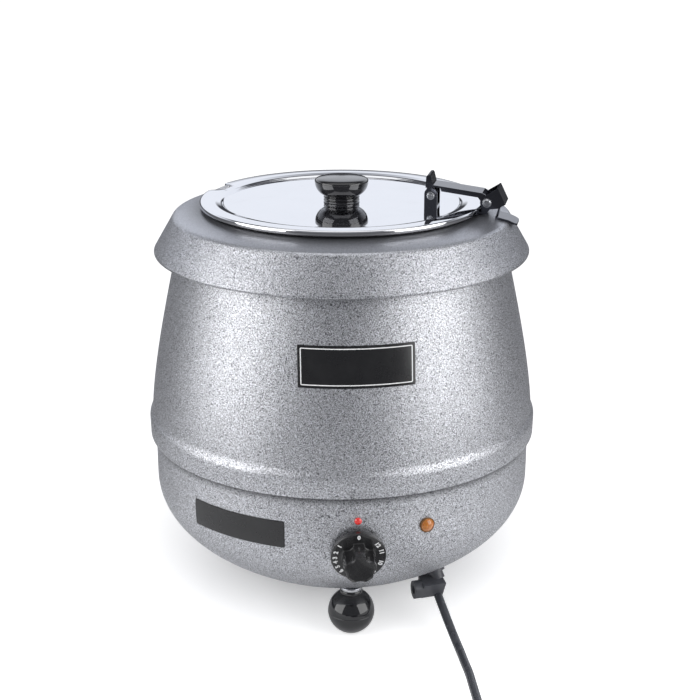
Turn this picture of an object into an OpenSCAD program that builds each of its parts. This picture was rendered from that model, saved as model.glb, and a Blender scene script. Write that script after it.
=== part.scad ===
// Electric soup kettle: a two-piece painted shell with a flared collar around a water pan,
// a lift-out pot, a hinged lid, a thermostat and lamps, on three ball feet.
// Millimetres, +Z up, front at -Y, origin on the kettle's axis at the surface it stands on.

/* [Shell] */
// Radius of the joggled band, the widest part of the shell
band_r = 171; // [150:1:210]
// Height of the band's lower edge above the surface
band_z = 156; // [125:1:190]
// Height of the straight part of the band
band_h = 15.5; // [10:0.5:24]
// How far the band stands out from the barrel above it
joggle = 2.8; // [1.5:0.1:5]
// Radius of the barrel at its top edge
barrel_top_r = 136.4; // [132:0.2:142]
// Height of the collar's outer corner
corner_z = 350; // [330:1:425]
// How far the lower bowl sits inside the band
bowl_step = 4.8; // [3.5:0.1:8]
// Thickness of the shell's sheet steel
sheet = 1.2; // [0.8:0.1:1.8]
// Height of the flat base of the bowl
base_z = 43.8; // [36:0.2:53]

/* [Collar] */
// Radius of the collar's outer corner
corner_r = 144.4; // [139:0.2:150]
// Radius of the skirt's lower edge
skirt_r = 161.6; // [156:0.2:168]
// Height of the skirt
skirt_h = 30.6; // [24:0.2:37]
// Rise of the shoulder from the corner to the mouth
shoulder_rise = 6; // [4:0.2:8]
// Inside radius of the collar's mouth
mouth_r = 115.6; // [108:0.2:120]

/* [Pot and pan] */
// Clearance of the pot in the collar's mouth
pot_gap = 1.2; // [0.8:0.1:3]
// Depth of the pot below its rim
pot_depth = 256; // [205:1:262]
// Thickness of the pot's steel
pot_wall = 0.8; // [0.6:0.1:1.5]
// Width of the pot's rolled rim
rim_w = 5.4; // [4.6:0.1:6.6]
// Height of the pot's rolled rim
rim_h = 4.8; // [3.8:0.1:6]
// Outside radius of the water pan
pan_r = 124; // [120:0.5:128]
// Depth of water under the pot
water_gap = 15; // [10:1:20]

/* [Lid] */
// Radius of the lid
lid_r = 121.4; // [121:0.1:122]
// Thickness of the lid's steel
lid_sheet = 0.8; // [0.6:0.1:1.2]
// Radius of the lid's sunken middle
sunk_r = 102.4; // [88:0.2:106]
// Depth of the sunken middle
sunk_depth = 3.2; // [2:0.1:4.5]
// Width of the ladle notch
notch_w = 26; // [18:1:34]
// Depth of the ladle notch
notch_d = 12; // [8:0.5:14]
// Direction of the ladle notch, counterclockwise from +X
notch_angle = 153; // [120:1:180]
// Largest radius of the lid's knob
knob_r = 23; // [18:0.5:28]
// Height of the lid's knob
knob_h = 22; // [18:0.5:28]

/* [Hinge] */
// Direction of the hinge, counterclockwise from +X
hinge_angle = -16.4; // [-40:0.2:10]
// Distance of the lid's pin from the kettle's axis
lid_pin_x = 78.4; // [70:0.2:88]
// Width of the hinge arm
arm_w = 21.6; // [19:0.2:24]
// Radius of the hinge pins
pin_r = 2; // [1.6:0.1:2.4]
// Running clearance of the hinge pins, on the radius
pin_gap = 0.06; // [0.02:0.01:0.1]
// Thickness of the hinge's steel
hinge_sheet = 1.5; // [1.2:0.1:1.8]

/* [Controls] */
// Height of the dial's centre
dial_z = 107; // [98:1:112]
// Radius of the dial's disc
dial_r = 22.5; // [19:0.5:25]
// Radius of the thermostat's shaft
shaft_r = 3; // [2.5:0.1:4]
// Height of the red marker lamp
marker_z = 135.5; // [132:0.5:140]
// Radius of the red marker lamp
marker_r = 3; // [2:0.1:4]
// Height of the pilot lamp
pilot_z = 125.5; // [118:0.5:136]
// Radius of the pilot lamp's lens
pilot_r = 5.6; // [4:0.1:7]
// Direction of the pilot lamp, to the right of the front
pilot_angle = 20; // [16:0.5:30]

/* [Feet] */
// Radius of the circle of the three feet
foot_ring_r = 100; // [85:1:104]
// Radius of a ball foot
foot_r = 20.2; // [17:0.1:20.6]
// Radius of the foot studs
stud_r = 3; // [2.5:0.1:4]

/* [Plates] */
// Width of the blank name plate, along the shell
plate_w = 94; // [75:1:115]
// Height of the blank name plate
plate_h = 33; // [26:1:40]
// Height of the name plate's centre
plate_z = 262; // [230:1:280]
// Width of the blank lower label, along the shell
label_w = 90; // [70:1:108]
// Height of the blank lower label
label_h = 23.5; // [18:0.5:30]
// Height of the lower label's centre
label_z = 120.5; // [112:0.5:128]

/* [Hidden] */
$fn = 96;

// Seats and small gaps
seat_gap = 0.3;
plate_gap = 0.12;
wire_gap = 0.5;
front = 270;
foot_angles = [270, 30, 150];
rod_angles = [330, 90, 210];
clamp_angles = [150, 270, 20];
element_angle = 60;
earth_angle = 240;
block_angle = 345;
label_angle = front - 36.2;
gland_angle = front + 41.5;

// ---- curves -------------------------------------------------------------------------------

// A point of the cubic curve with the control points p, at t from 0 to 1
function bezier(p, t) =
  pow(1 - t, 3) * p[0] + 3 * t * pow(1 - t, 2) * p[1] + 3 * t * t * (1 - t) * p[2] + t * t * t * p[3];
function bezier_points(p, n) = [for (i = [0:n]) bezier(p, i / n)];
// The t at which a rising curve reaches the height z, found by halving
function t_at(p, z, lo = 0, hi = 1, steps = 22) =
  steps == 0 ? (lo + hi) / 2
  : let (mid = (lo + hi) / 2)
    bezier(p, mid)[1] < z ? t_at(p, z, mid, hi, steps - 1) : t_at(p, z, lo, mid, steps - 1);
function arc(c, r, a0, a1, n = 6) =
  [for (i = [0:n]) let (a = a0 + (a1 - a0) * i / n) c + r * [cos(a), sin(a)]];
function reversed(p) = [for (i = [len(p) - 1:-1:0]) p[i]];
// The line p moved by d to its left, with mitred corners
function unit(v) = v / norm(v);
function left_of(v) = [-v[1], v[0]];
function beside(p, d) = [
  for (i = [0:len(p) - 1])
    let (
      a = i > 0 ? unit(p[i] - p[i - 1]) : unit(p[1] - p[0]),
      b = i < len(p) - 1 ? unit(p[i + 1] - p[i]) : a,
      m = unit(left_of(a) + left_of(b))
    ) p[i] + m * d / max(0.5, m * left_of(a))
];
// A sheet of thickness d whose outside follows the line p, turned round the axis
module spun_sheet(p, d) {
  rotate_extrude() polygon(concat(p, reversed(beside(p, d))));
}

// ---- shell profiles, as [radius, height] --------------------------------------------------

bowl_r = band_r - bowl_step;
base_r = foot_ring_r + 5.6;
access_r = 75;
// Where the bowl's wall turns vertical, and where its top edge ends inside the band
bowl_turn_z = band_z - 38;
bowl_top_z = band_z + band_h - 3.5;
bowl_cone_angle = 29;
bowl_curve = [
  [base_r, base_z],
  [base_r, base_z]
    + 0.59 * (bowl_r - base_r) / cos(bowl_cone_angle) * [cos(bowl_cone_angle), sin(bowl_cone_angle)],
  [bowl_r, bowl_turn_z - 0.43 * (bowl_turn_z - base_z)],
  [bowl_r, bowl_turn_z]
];
bowl_line = concat(bezier_points(bowl_curve, 24), [[bowl_r, bowl_top_z]]);
function bowl_radius(z) = z >= bowl_turn_z ? bowl_r : bezier(bowl_curve, t_at(bowl_curve, z))[0];
// Outward lean of the bowl's surface below vertical, in degrees
function bowl_lean(z) = atan2(bowl_radius(z + 1) - bowl_radius(z - 1), 2);

barrel_z0 = band_z + band_h + 9.5;
barrel_z1 = corner_z - 1.8;
barrel_r0 = band_r - joggle;
barrel_len = barrel_z1 - barrel_z0;
barrel_curve = [
  [barrel_r0, barrel_z0],
  [barrel_r0 - 0.018 * barrel_len, barrel_z0 + 0.27 * barrel_len],
  [barrel_top_r + 0.076 * barrel_len, barrel_z1 - 0.34 * barrel_len],
  [barrel_top_r, barrel_z1]
];
function barrel_radius(z) = bezier(barrel_curve, t_at(barrel_curve, z))[0];
function barrel_lean(z) = atan2(barrel_radius(z + 1) - barrel_radius(z - 1), 2);
// The joggle is one smooth S from the band to the barrel
joggle_curve = [
  [band_r, band_z + band_h],
  [band_r, band_z + band_h + 4.5],
  [barrel_r0 + 0.35, barrel_z0 - 4.5],
  [barrel_r0, barrel_z0]
];
barrel_line = concat(
  [[band_r - 0.9, band_z], [band_r - 0.3, band_z + 1.2]],
  bezier_points(joggle_curve, 10),
  [for (i = [1:28]) bezier(barrel_curve, i / 28)]
);

mouth_z = corner_z + shoulder_rise;
skirt_z = corner_z - skirt_h;
shoulder_angle = atan2(shoulder_rise, corner_r - mouth_r - 3);
skirt_angle = atan2(skirt_h, skirt_r - corner_r);
corner_fillet = 5;
// The fillet at the corner turns from the shoulder's slope to the skirt's
corner_turn = skirt_angle - shoulder_angle;
corner_reach = corner_fillet * tan(corner_turn / 2);
corner_start = [corner_r, corner_z] + corner_reach * [cos(-skirt_angle), sin(-skirt_angle)];
corner_centre = corner_start - corner_fillet * [sin(skirt_angle), cos(skirt_angle)];
hem_r = 1.8;
neck_depth = 9;
neck_r = mouth_r + sheet;
collar_line = concat(
  arc([skirt_r - hem_r, skirt_z + hem_r * 0.4], hem_r, -60, 90 - skirt_angle, 5),
  arc(corner_centre, corner_fillet, 90 - skirt_angle, 90 - shoulder_angle, 6),
  [[neck_r + 1.5, mouth_z], [neck_r - sheet + 1.2, mouth_z]],
  arc([mouth_r + 1, mouth_z - 1], 1, 90, 180, 4),
  [[mouth_r, mouth_z - neck_depth]]
);
function shoulder_z(r) = corner_z + (corner_r - r) * tan(shoulder_angle);

// ---- pot, pan and lid ---------------------------------------------------------------------

pot_r = mouth_r - pot_gap;
rim_z = mouth_z + seat_gap;
rim_top = rim_z + rim_h;
rim_r = pot_r - pot_wall + rim_w;
pot_bottom = rim_top - pot_depth - 5;
pot_corner = 22;
pan_wall = 1;
pan_bottom = pot_bottom - water_gap - pan_wall;
pan_corner = 12;
flange_z = barrel_z1 + sheet;

lid_under = rim_top + seat_gap;
lid_top = lid_under + lid_sheet;
sunk_z = lid_top - sunk_depth;
lid_edge = 1.6;
lid_line = concat(
  [[0, sunk_z], [sunk_r - 2.4, sunk_z]],
  bezier_points(
    [[sunk_r - 2.2, sunk_z], [sunk_r - 0.4, sunk_z], [sunk_r - 0.2, lid_top], [sunk_r + 1.8, lid_top]],
    8
  ),
  arc([lid_r - lid_edge, lid_top - lid_edge], lid_edge, 90, 0, 6),
  [[lid_r, lid_top - 3.6]]
);

screw_r = 2;

// ---- hinge: local frame with +X outward along the hinge ------------------------------------

arm_pin_x = lid_r + 5;
arm_pin_z = mouth_z + 10;
lid_pin_z = sunk_z + 10.2;
pin_boss_r = 5;
ear_r = 5.8;
ear_out = 8.8;
clevis_half = arm_w / 2 + 0.3 + hinge_sheet;
rivet_r = 1.6;
rivet_y = 3.6;
arm_drop = 4.2;
arm_start = [lid_pin_x + 2.2, lid_pin_z + 9.5];
arm_end = [arm_pin_x - 4.4, arm_pin_z + 7.6];
tongue_z = rim_z + 0.1;
tongue_t = 1.8;
foot_x0 = 133.2;
foot_x1 = 151.8;
foot_w = 23;
foot_t = 1.6;
neck_w = 12;
foot_line = [
  [foot_x0 - 1, shoulder_z(foot_x0 - 1) + 0.3], [corner_r - 0.4, corner_z + 0.35], [foot_x1 + 1, corner_z - 3.4]
];
rim_clip_half = 10;

// ---- base, heating and control --------------------------------------------------------------

cover_r = 84;
cover_z = base_z - sheet;
vent_w = 5;
vent_pitch = 11;
rod_ring_r = 68;
rod_r = 2.5;
nut_h = 4;
foot_nut_flats = 10;
foot_nut_h = 5;
inner_row_r = 90;
element_r = 4;
element_ring_r = 88;
element_gap = 30;
element_tail = 12;
clamp_stud_r = 79;
shaft_bush_r = 5;
shaft_in = 14;
shaft_out = 17;
shaft_gap = 0.06;
thermostat_face_z = -sheet - 4.2;
thermostat_depth = 20;
thermostat_screw_y = 14;
thermostat_h = 30;
lug = 5;
lug_y = 9;
dial_gap = 0.8;
disc_h = 5;
grip_r = 13.4;
grip_h = 17;
bulb_r = 3;
bulb_len = 70;
bulb_x = -25;
cutout_x = 30;
cutout_y = 15;
tab_x = 4;
block_w = 14;
block_len = 36;
block_h = 16;
wire_r = 1.3;

// ---- gland and cord ------------------------------------------------------------------------

gland_r = 112;
// The t at which the bowl's curve reaches the radius r
function t_at_radius(r, lo = 0, hi = 1, steps = 22) =
  steps == 0 ? (lo + hi) / 2
  : let (mid = (lo + hi) / 2)
    bezier(bowl_curve, mid)[0] < r ? t_at_radius(r, mid, hi, steps - 1) : t_at_radius(r, lo, mid, steps - 1);
gland_z = bezier(bowl_curve, t_at_radius(gland_r))[1];
gland_neck_r = 6.5;
gland_neck_in = 9;
block_centre = [71.5, -92, 34];
block_half = [10, 9, 8.4];
block_turn = 12;
block_tip = 8;
boss_r = 8.2;
boss_reach = 17;
boss_hole_r = 3.6;

cord_r = 3.75;
// The cord from the gland down to the surface and along it to the coil
cord_route = [
  [77, -92, 26.5], [80, -105, 19.4], [83, -118, 12.6], [86, -133, 6.6], [88, -150, 4.2],
  [89, -168, 3.9], [90, -186, 3.9], [90, -205, 3.9], [90, -224, 3.9], [90, -243, 3.9],
  [90, -262, 3.9], [89.9, -273.4, 3.9]
];
// The cord from the coil to the plug
tail_route = [
  [13.5, -353.8, 11.3], [-4, -353.8, 11], [-22, -353.6, 10.9], [-38, -353.4, 11.2], [-52, -353.2, 11.9],
  [-62, -353, 12.6], [-72, -353, 12.6]
];
coil_centre = [37.5, -301.5];
coil_in = 33;
coil_out = 56.1;
coil_h = 15;
sleeve_len = 30;
plug_len = 38;
plug_w = 28;
plug_h = 25;
plug_at = tail_route[len(tail_route) - 1] - [sleeve_len, 0, 0];

// ---- placing -------------------------------------------------------------------------------

// Puts local +Z along the bowl's outward normal and local -X up the wall
module on_bowl(angle, z) {
  r = bowl_radius(z);
  translate([r * cos(angle), r * sin(angle), z])
    rotate([0, 90 + bowl_lean(z), angle])
      children();
}
// Puts local +X along the hinge, away from the kettle's axis
module at_hinge() {
  rotate([0, 0, hinge_angle])
    children();
}
// Extrudes an outline drawn in X and Z to the width w, centred on y
module across(w, y = 0) {
  translate([0, y + w / 2, 0])
    rotate([90, 0, 0])
      linear_extrude(w)
        children();
}
module across_pair(w, y) {
  for (side = [-1, 1])
    across(w, side * y)
      children();
}
module pin_across(r, w, x, z) {
  translate([x, w / 2, z])
    rotate([90, 0, 0])
      cylinder(r = r, h = w);
}
module round_rect(w, h, r) {
  polygon([
    for (k = [0:3])
      let (sx = k == 0 || k == 3 ? 1 : -1, sy = k < 2 ? 1 : -1)
        each arc([sx * (w / 2 - r), sy * (h / 2 - r)], r, 90 * k, 90 * k + 90, 5)
  ]);
}
module hex(flats, h) {
  cylinder(d = flats / cos(30), h = h, $fn = 6);
}
module ring(outer, inner, h) {
  difference() {
    cylinder(r = outer, h = h);
    translate([0, 0, -1])
      cylinder(r = inner, h = h + 2);
  }
}
// A round tube through the points p, with flat ends
module swept_tube(p, r, sides = 8, up = [0, 0, 1]) {
  n = len(p);
  tangents = [for (i = [0:n - 1]) unit(p[min(i + 1, n - 1)] - p[max(i - 1, 0)])];
  points = [
    for (i = [0:n - 1])
      let (s = unit(cross(tangents[i], up)), u = cross(s, tangents[i]))
        for (k = [0:sides - 1])
          let (a = 360 * k / sides) p[i] + r * (cos(a) * s + sin(a) * u)
  ];
  walls = [
    for (i = [0:n - 2], k = [0:sides - 1])
      let (j = (k + 1) % sides)
        [i * sides + k, i * sides + j, (i + 1) * sides + j, (i + 1) * sides + k]
  ];
  ends = [
    [for (k = [sides - 1:-1:0]) k],
    [for (k = [0:sides - 1]) (n - 1) * sides + k]
  ];
  polyhedron(points, concat(ends, walls), convexity = 4);
}
module wire(a, a_way, b_way, b) {
  swept_tube(bezier_points([a, a_way, b_way, b], 9), wire_r, 8, [0.3, 0.5, 0.8]);
}

// ---- shell ---------------------------------------------------------------------------------

module foot_bolt_holes(r, h) {
  for (a = foot_angles)
    rotate([0, 0, a])
      translate([foot_ring_r, 0, base_z - 1])
        cylinder(r = r, h = h);
}
module lower_bowl() {
  // The top edge steps out to sit inside the shell's band
  lip_r = band_r - sheet - seat_gap;
  line = concat(
    [[access_r, base_z]],
    bezier_points(bowl_curve, 24),
    [[bowl_r, bowl_top_z - 9], [lip_r, bowl_top_z - 5.5], [lip_r, bowl_top_z]]
  );
  color("#8c8e96")
    difference() {
      spun_sheet(line, sheet);
      foot_bolt_holes(stud_r + 0.1, 6);
      on_bowl(front, dial_z) {
        translate([0, 0, -8])
          cylinder(r = shaft_bush_r + 0.3, h = 16);
        for (y = [-1, 1])
          translate([0, y * thermostat_screw_y, -8])
            cylinder(r = screw_r + 0.1, h = 16);
      }
      on_bowl(front, marker_z)
        translate([0, 0, -8])
          cylinder(r = marker_r - 0.4, h = 16);
      on_bowl(front + pilot_angle, pilot_z)
        translate([0, 0, -8])
          cylinder(r = pilot_r - 0.4, h = 16);
      on_bowl(gland_angle, gland_z)
        translate([0, 0, -12])
          cylinder(r = gland_neck_r + 0.1, h = 16);
      for (a = [earth_angle, block_angle])
        rotate([0, 0, a])
          translate([inner_row_r, 0, base_z - 1])
            cylinder(r = screw_r + 0.1, h = 4);
    }
}

module upper_shell() {
  color("#8c8e96")
    spun_sheet(barrel_line, sheet);
}

module collar() {
  color("#85878f")
    spun_sheet(collar_line, sheet);
}

module base_cover() {
  color("#7d7f86")
    difference() {
      translate([0, 0, cover_z])
        cylinder(r = cover_r, h = sheet);
      for (a = rod_angles)
        rotate([0, 0, a])
          translate([rod_ring_r, 0, cover_z - 1])
            cylinder(r = rod_r + 0.1, h = 4);
      for (a = [0:120:240], row = [0:2])
        rotate([0, 0, a])
          translate([24 + row * vent_pitch, 0, cover_z - 1])
            linear_extrude(4)
              round_rect(vent_w, 30, vent_w / 2 - 0.1);
    }
}

module tie_rods() {
  color("silver")
    for (a = rod_angles)
      rotate([0, 0, a])
        translate([rod_ring_r, 0, cover_z - nut_h - 2])
          cylinder(r = rod_r, h = pan_bottom - cover_z + nut_h + 2);
}

module tie_nuts() {
  color("silver")
    for (a = rod_angles)
      rotate([0, 0, a])
        translate([rod_ring_r, 0, cover_z - nut_h])
          difference() {
            hex(8, nut_h);
            translate([0, 0, -1])
              cylinder(r = rod_r + 0.05, h = nut_h + 2);
          }
}

// ---- pan and pot -----------------------------------------------------------------------------

module water_pan() {
  lip_r = barrel_top_r + 2.4;
  under_z = barrel_z1 + 0.1;
  line = concat(
    [[0, pan_bottom]],
    arc([pan_r - pan_corner, pan_bottom + pan_corner], pan_corner, -90, 0, 8),
    [[pan_r, under_z - 1.5], [pan_r + 1.5, under_z], [lip_r - 0.8, under_z], [lip_r, under_z + 0.8]],
    [[lip_r, shoulder_z(lip_r) - sheet / cos(shoulder_angle) - 0.2]]
  );
  color("silver")
    spun_sheet(line, pan_wall);
}

module inner_pot() {
  rim_mid = rim_z + rim_h / 2;
  round_r = 1.9;
  bottom_z = pot_bottom;
  line = concat(
    [[0, bottom_z]],
    arc([pot_r - pot_corner, bottom_z + pot_corner], pot_corner, -90, 0, 10),
    [[pot_r, rim_z + 1]]
  );
  bead_in = pot_r - pot_wall;
  color("lightgray") {
    rotate_extrude()
      polygon(concat(
        line,
        arc([rim_r - round_r, rim_z + round_r], round_r, -90, 0, 5),
        arc([rim_r - round_r, rim_top - round_r], round_r, 0, 90, 5),
        arc([bead_in + round_r, rim_top - round_r], round_r, 90, 180, 5),
        reversed(beside(line, pot_wall))
      ));
  }
}

// ---- feet ------------------------------------------------------------------------------------

foot_flat_r = 3.5;
foot_centre_z = sqrt(foot_r * foot_r - foot_flat_r * foot_flat_r);
ferrule_r = 9.4;
ball_top_z = foot_centre_z + sqrt(foot_r * foot_r - ferrule_r * ferrule_r);

module ball_foot(angle) {
  color("#17171a")
    rotate([0, 0, angle])
      translate([foot_ring_r, 0, 0])
        difference() {
          intersection() {
            translate([0, 0, foot_centre_z])
              sphere(foot_r);
            cylinder(r = foot_r + 1, h = ball_top_z);
          }
          translate([0, 0, foot_centre_z - 3])
            cylinder(r = stud_r + 0.05, h = foot_r + 4);
        }
}
module foot_front() { ball_foot(foot_angles[0]); }
module foot_rear_right() { ball_foot(foot_angles[1]); }
module foot_rear_left() { ball_foot(foot_angles[2]); }

module foot_ferrules() {
  h = base_z - ball_top_z;
  color("silver")
    for (a = foot_angles)
      rotate([0, 0, a])
        translate([foot_ring_r, 0, ball_top_z])
          rotate_extrude()
            polygon([
              [stud_r + 0.1, 0], [ferrule_r - 1.6, 0], [ferrule_r - 1.6, h * 0.35],
              [ferrule_r - 0.4, h * 0.45], [ferrule_r, h * 0.6], [ferrule_r, h * 0.85],
              [ferrule_r - 0.6, h], [stud_r + 0.1, h]
            ]);
}

module foot_studs() {
  color("silver")
    for (a = foot_angles)
      rotate([0, 0, a])
        translate([foot_ring_r, 0, foot_centre_z - 2])
          cylinder(r = stud_r, h = base_z + sheet + foot_nut_h + 3 - foot_centre_z);
}

module foot_nuts() {
  color("silver")
    for (a = foot_angles)
      rotate([0, 0, a])
        translate([foot_ring_r, 0, base_z + sheet])
          difference() {
            rotate([0, 0, 30])
              hex(foot_nut_flats, foot_nut_h);
            translate([0, 0, -1])
              cylinder(r = stud_r + 0.05, h = foot_nut_h + 2);
          }
}

// ---- heating and control ---------------------------------------------------------------------

// The tails turn down just before the ring's two ends
function element_tail_angle(side) = element_angle + side * (element_gap / 2 + 3);

module heating_element() {
  z = pan_bottom - element_r;
  color("#6a6560") {
    rotate([0, 0, element_gap / 2 + element_angle])
      rotate_extrude(angle = 360 - element_gap)
        translate([element_ring_r, z])
          circle(element_r);
    for (side = [-1, 1])
      rotate([0, 0, element_tail_angle(side)])
        translate([element_ring_r, 0, z]) {
          translate([0, 0, -element_tail])
            cylinder(r = element_r - 0.4, h = element_tail);
          translate([0, 0, -element_tail - 9])
            cylinder(r = 1.6, h = 10);
        }
  }
}

module element_clamps() {
  strap_z = pan_bottom - 2 * element_r - 1.5;
  color("silver")
    for (a = clamp_angles)
      rotate([0, 0, a])
        difference() {
          translate([clamp_stud_r - 5, -6, strap_z])
            cube([element_ring_r - clamp_stud_r + 8, 12, 1.4]);
          translate([clamp_stud_r, 0, strap_z - 1])
            cylinder(r = 2.1, h = 4);
        }
}

module clamp_studs() {
  strap_z = pan_bottom - 2 * element_r - 1.5;
  color("silver")
    for (a = clamp_angles)
      rotate([0, 0, a])
        translate([clamp_stud_r, 0, 0]) {
          translate([0, 0, strap_z - 5])
            cylinder(r = 2, h = pan_bottom - strap_z + 5);
          translate([0, 0, strap_z - 3.2])
            difference() {
              hex(7, 3.2);
              translate([0, 0, -1])
                cylinder(r = 2.05, h = 6);
            }
        }
}

module thermostat_body() {
  color("#3c3a38")
    on_bowl(front, dial_z)
      difference() {
        union() {
          translate([0, 0, thermostat_face_z - thermostat_depth])
            linear_extrude(thermostat_depth)
              round_rect(thermostat_h, 36, 3);
          translate([0, 0, thermostat_face_z - 1])
            cylinder(r = shaft_bush_r, h = 0.8 - thermostat_face_z);
          for (y = [-1, 1]) {
            translate([0, y * thermostat_screw_y, thermostat_face_z - 1])
              cylinder(r = 3.6, h = 3.4);
            translate([-lug / 2, y * lug_y - lug / 2, thermostat_face_z - thermostat_depth - lug])
              cube([lug, lug, lug + 1]);
          }
        }
        translate([0, 0, thermostat_face_z - shaft_in])
          cylinder(r = shaft_r + shaft_gap, h = shaft_in + 12);
        for (y = [-1, 1])
          translate([0, y * thermostat_screw_y, thermostat_face_z - 7])
            cylinder(r = screw_r + 0.05, h = 12);
      }
}

module thermostat_shaft() {
  color("silver")
    on_bowl(front, dial_z)
      translate([0, 0, thermostat_face_z - shaft_in + 0.3])
        cylinder(r = shaft_r, h = shaft_in - thermostat_face_z + shaft_out - 0.3);
}

module thermostat_screws() {
  color("silver")
    on_bowl(front, dial_z)
      for (y = [-1, 1])
        translate([0, y * thermostat_screw_y, 0]) {
          translate([0, 0, thermostat_face_z - 6])
            cylinder(r = screw_r, h = 6 - thermostat_face_z + 0.4);
          translate([0, 0, -0.3])
            cylinder(r = 3.2, h = 1.8);
        }
}

module dial() {
  chamfer = 0.8;
  disc_z = dial_gap;
  color("#1b1b1e")
    on_bowl(front, dial_z)
      difference() {
        union() {
          translate([0, 0, disc_z])
            rotate_extrude()
              polygon([
                [0, 0], [dial_r, 0], [dial_r, disc_h - chamfer], [dial_r - chamfer, disc_h], [0, disc_h]
              ]);
          translate([0, 0, disc_z + disc_h - 0.5])
            linear_extrude(grip_h + 0.5)
              grip_outline();
        }
        translate([0, 0, disc_z - 1])
          ring(dial_r - 3, 7, disc_h - 1.2);
        translate([0, 0, disc_z - 1])
          cylinder(r = shaft_r + 0.02, h = shaft_out - disc_z + 1.5);
      }
}
// Two deep hollows beside the top lobe, and three shallow ones below
module grip_outline() {
  difference() {
    circle(grip_r);
    for (a = [141, 219])
      rotate(a)
        translate([grip_r + 2.4, 0])
          circle(5.8);
    for (a = [-72, 0, 72])
      rotate(a)
        translate([grip_r + 8.5, 0])
          circle(10);
  }
}

module capillary() {
  bulb_z = pan_bottom - bulb_r - 0.1;
  start = inside_bowl(front, dial_z, thermostat_depth / 2 - thermostat_face_z, thermostat_h / 2 + 0.1);
  color("#b08d57") {
    translate([bulb_x, -bulb_len / 2, bulb_z])
      rotate([-90, 0, 0])
        cylinder(r = bulb_r, h = bulb_len);
    swept_tube(
      bezier_points([
        start, start + [0, 0, -42],
        [bulb_x, -bulb_len / 2 - 42, bulb_z - 6],
        [bulb_x, -bulb_len / 2 + 1, bulb_z]
      ], 14),
      1.1, 8, [1, 0.1, 0]
    );
  }
}

module bulb_clip() {
  clip_z = pan_bottom - 2 * bulb_r - 0.2;
  color("silver")
    for (y = [-1, 1])
      translate([bulb_x, y * bulb_len / 3, 0]) {
        translate([-bulb_r - 5, -3, clip_z - 0.9])
          cube([2 * bulb_r + 10, 6, 0.8]);
        for (x = [-1, 1])
          translate([x * (bulb_r + 4) - 1, -3, clip_z - 0.9])
            cube([2, 6, pan_bottom - clip_z + 0.9]);
      }
}

module thermal_cutout() {
  color("#d8d2c4")
    translate([cutout_x, cutout_y, pan_bottom - 9]) {
      cylinder(r = 8, h = 8);
      translate([-11, -4, 8])
        cube([22, 8, 1]);
      for (x = [-1, 1])
        translate([x * tab_x - 0.4, -3, -7])
          cube([0.8, 6, 8]);
    }
}

module terminal_block() {
  color("#e8e4d8")
    rotate([0, 0, block_angle])
      translate([inner_row_r, 0, base_z + sheet])
        difference() {
          translate([-block_w / 2, -block_len / 2, 0])
            cube([block_w, block_len, block_h]);
          translate([0, 0, -1])
            cylinder(r = screw_r + 0.1, h = block_h + 2);
          for (y = [-1, 1])
            translate([0, y * 11, block_h - 6])
              cylinder(r = 2.4, h = 8);
        }
}

module earth_stud() {
  color("#c9a24a")
    for (a = [earth_angle, block_angle])
      rotate([0, 0, a])
        translate([inner_row_r, 0, 0]) {
          top = a == earth_angle ? base_z + sheet + 9 : base_z + sheet + block_h + 4;
          translate([0, 0, base_z - 0.2])
            cylinder(r = screw_r, h = top - base_z + 0.2);
          translate([0, 0, base_z - 2])
            cylinder(r = 3.6, h = 2);
          nut_z = a == earth_angle ? base_z + sheet : base_z + sheet + block_h;
          translate([0, 0, nut_z])
            difference() {
              hex(6.8, 3);
              translate([0, 0, -1])
                cylinder(r = screw_r - 0.3, h = 5);
            }
        }
}

// The point d inside the bowl's surface, and down along its wall
function inside_bowl(angle, z, d, down = 0) =
  let (lean = bowl_lean(z), r = bowl_radius(z) - d * cos(lean) - down * sin(lean))
    [r * cos(angle), r * sin(angle), z + d * sin(lean) - down * cos(lean)];
// The level direction along the bowl's wall
function sideways(angle) = [-sin(angle), cos(angle), 0];
function element_end(side) =
  let (a = element_tail_angle(side))
    [element_ring_r * cos(a), element_ring_r * sin(a), pan_bottom - element_r - element_tail - 9 - wire_gap];

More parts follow.
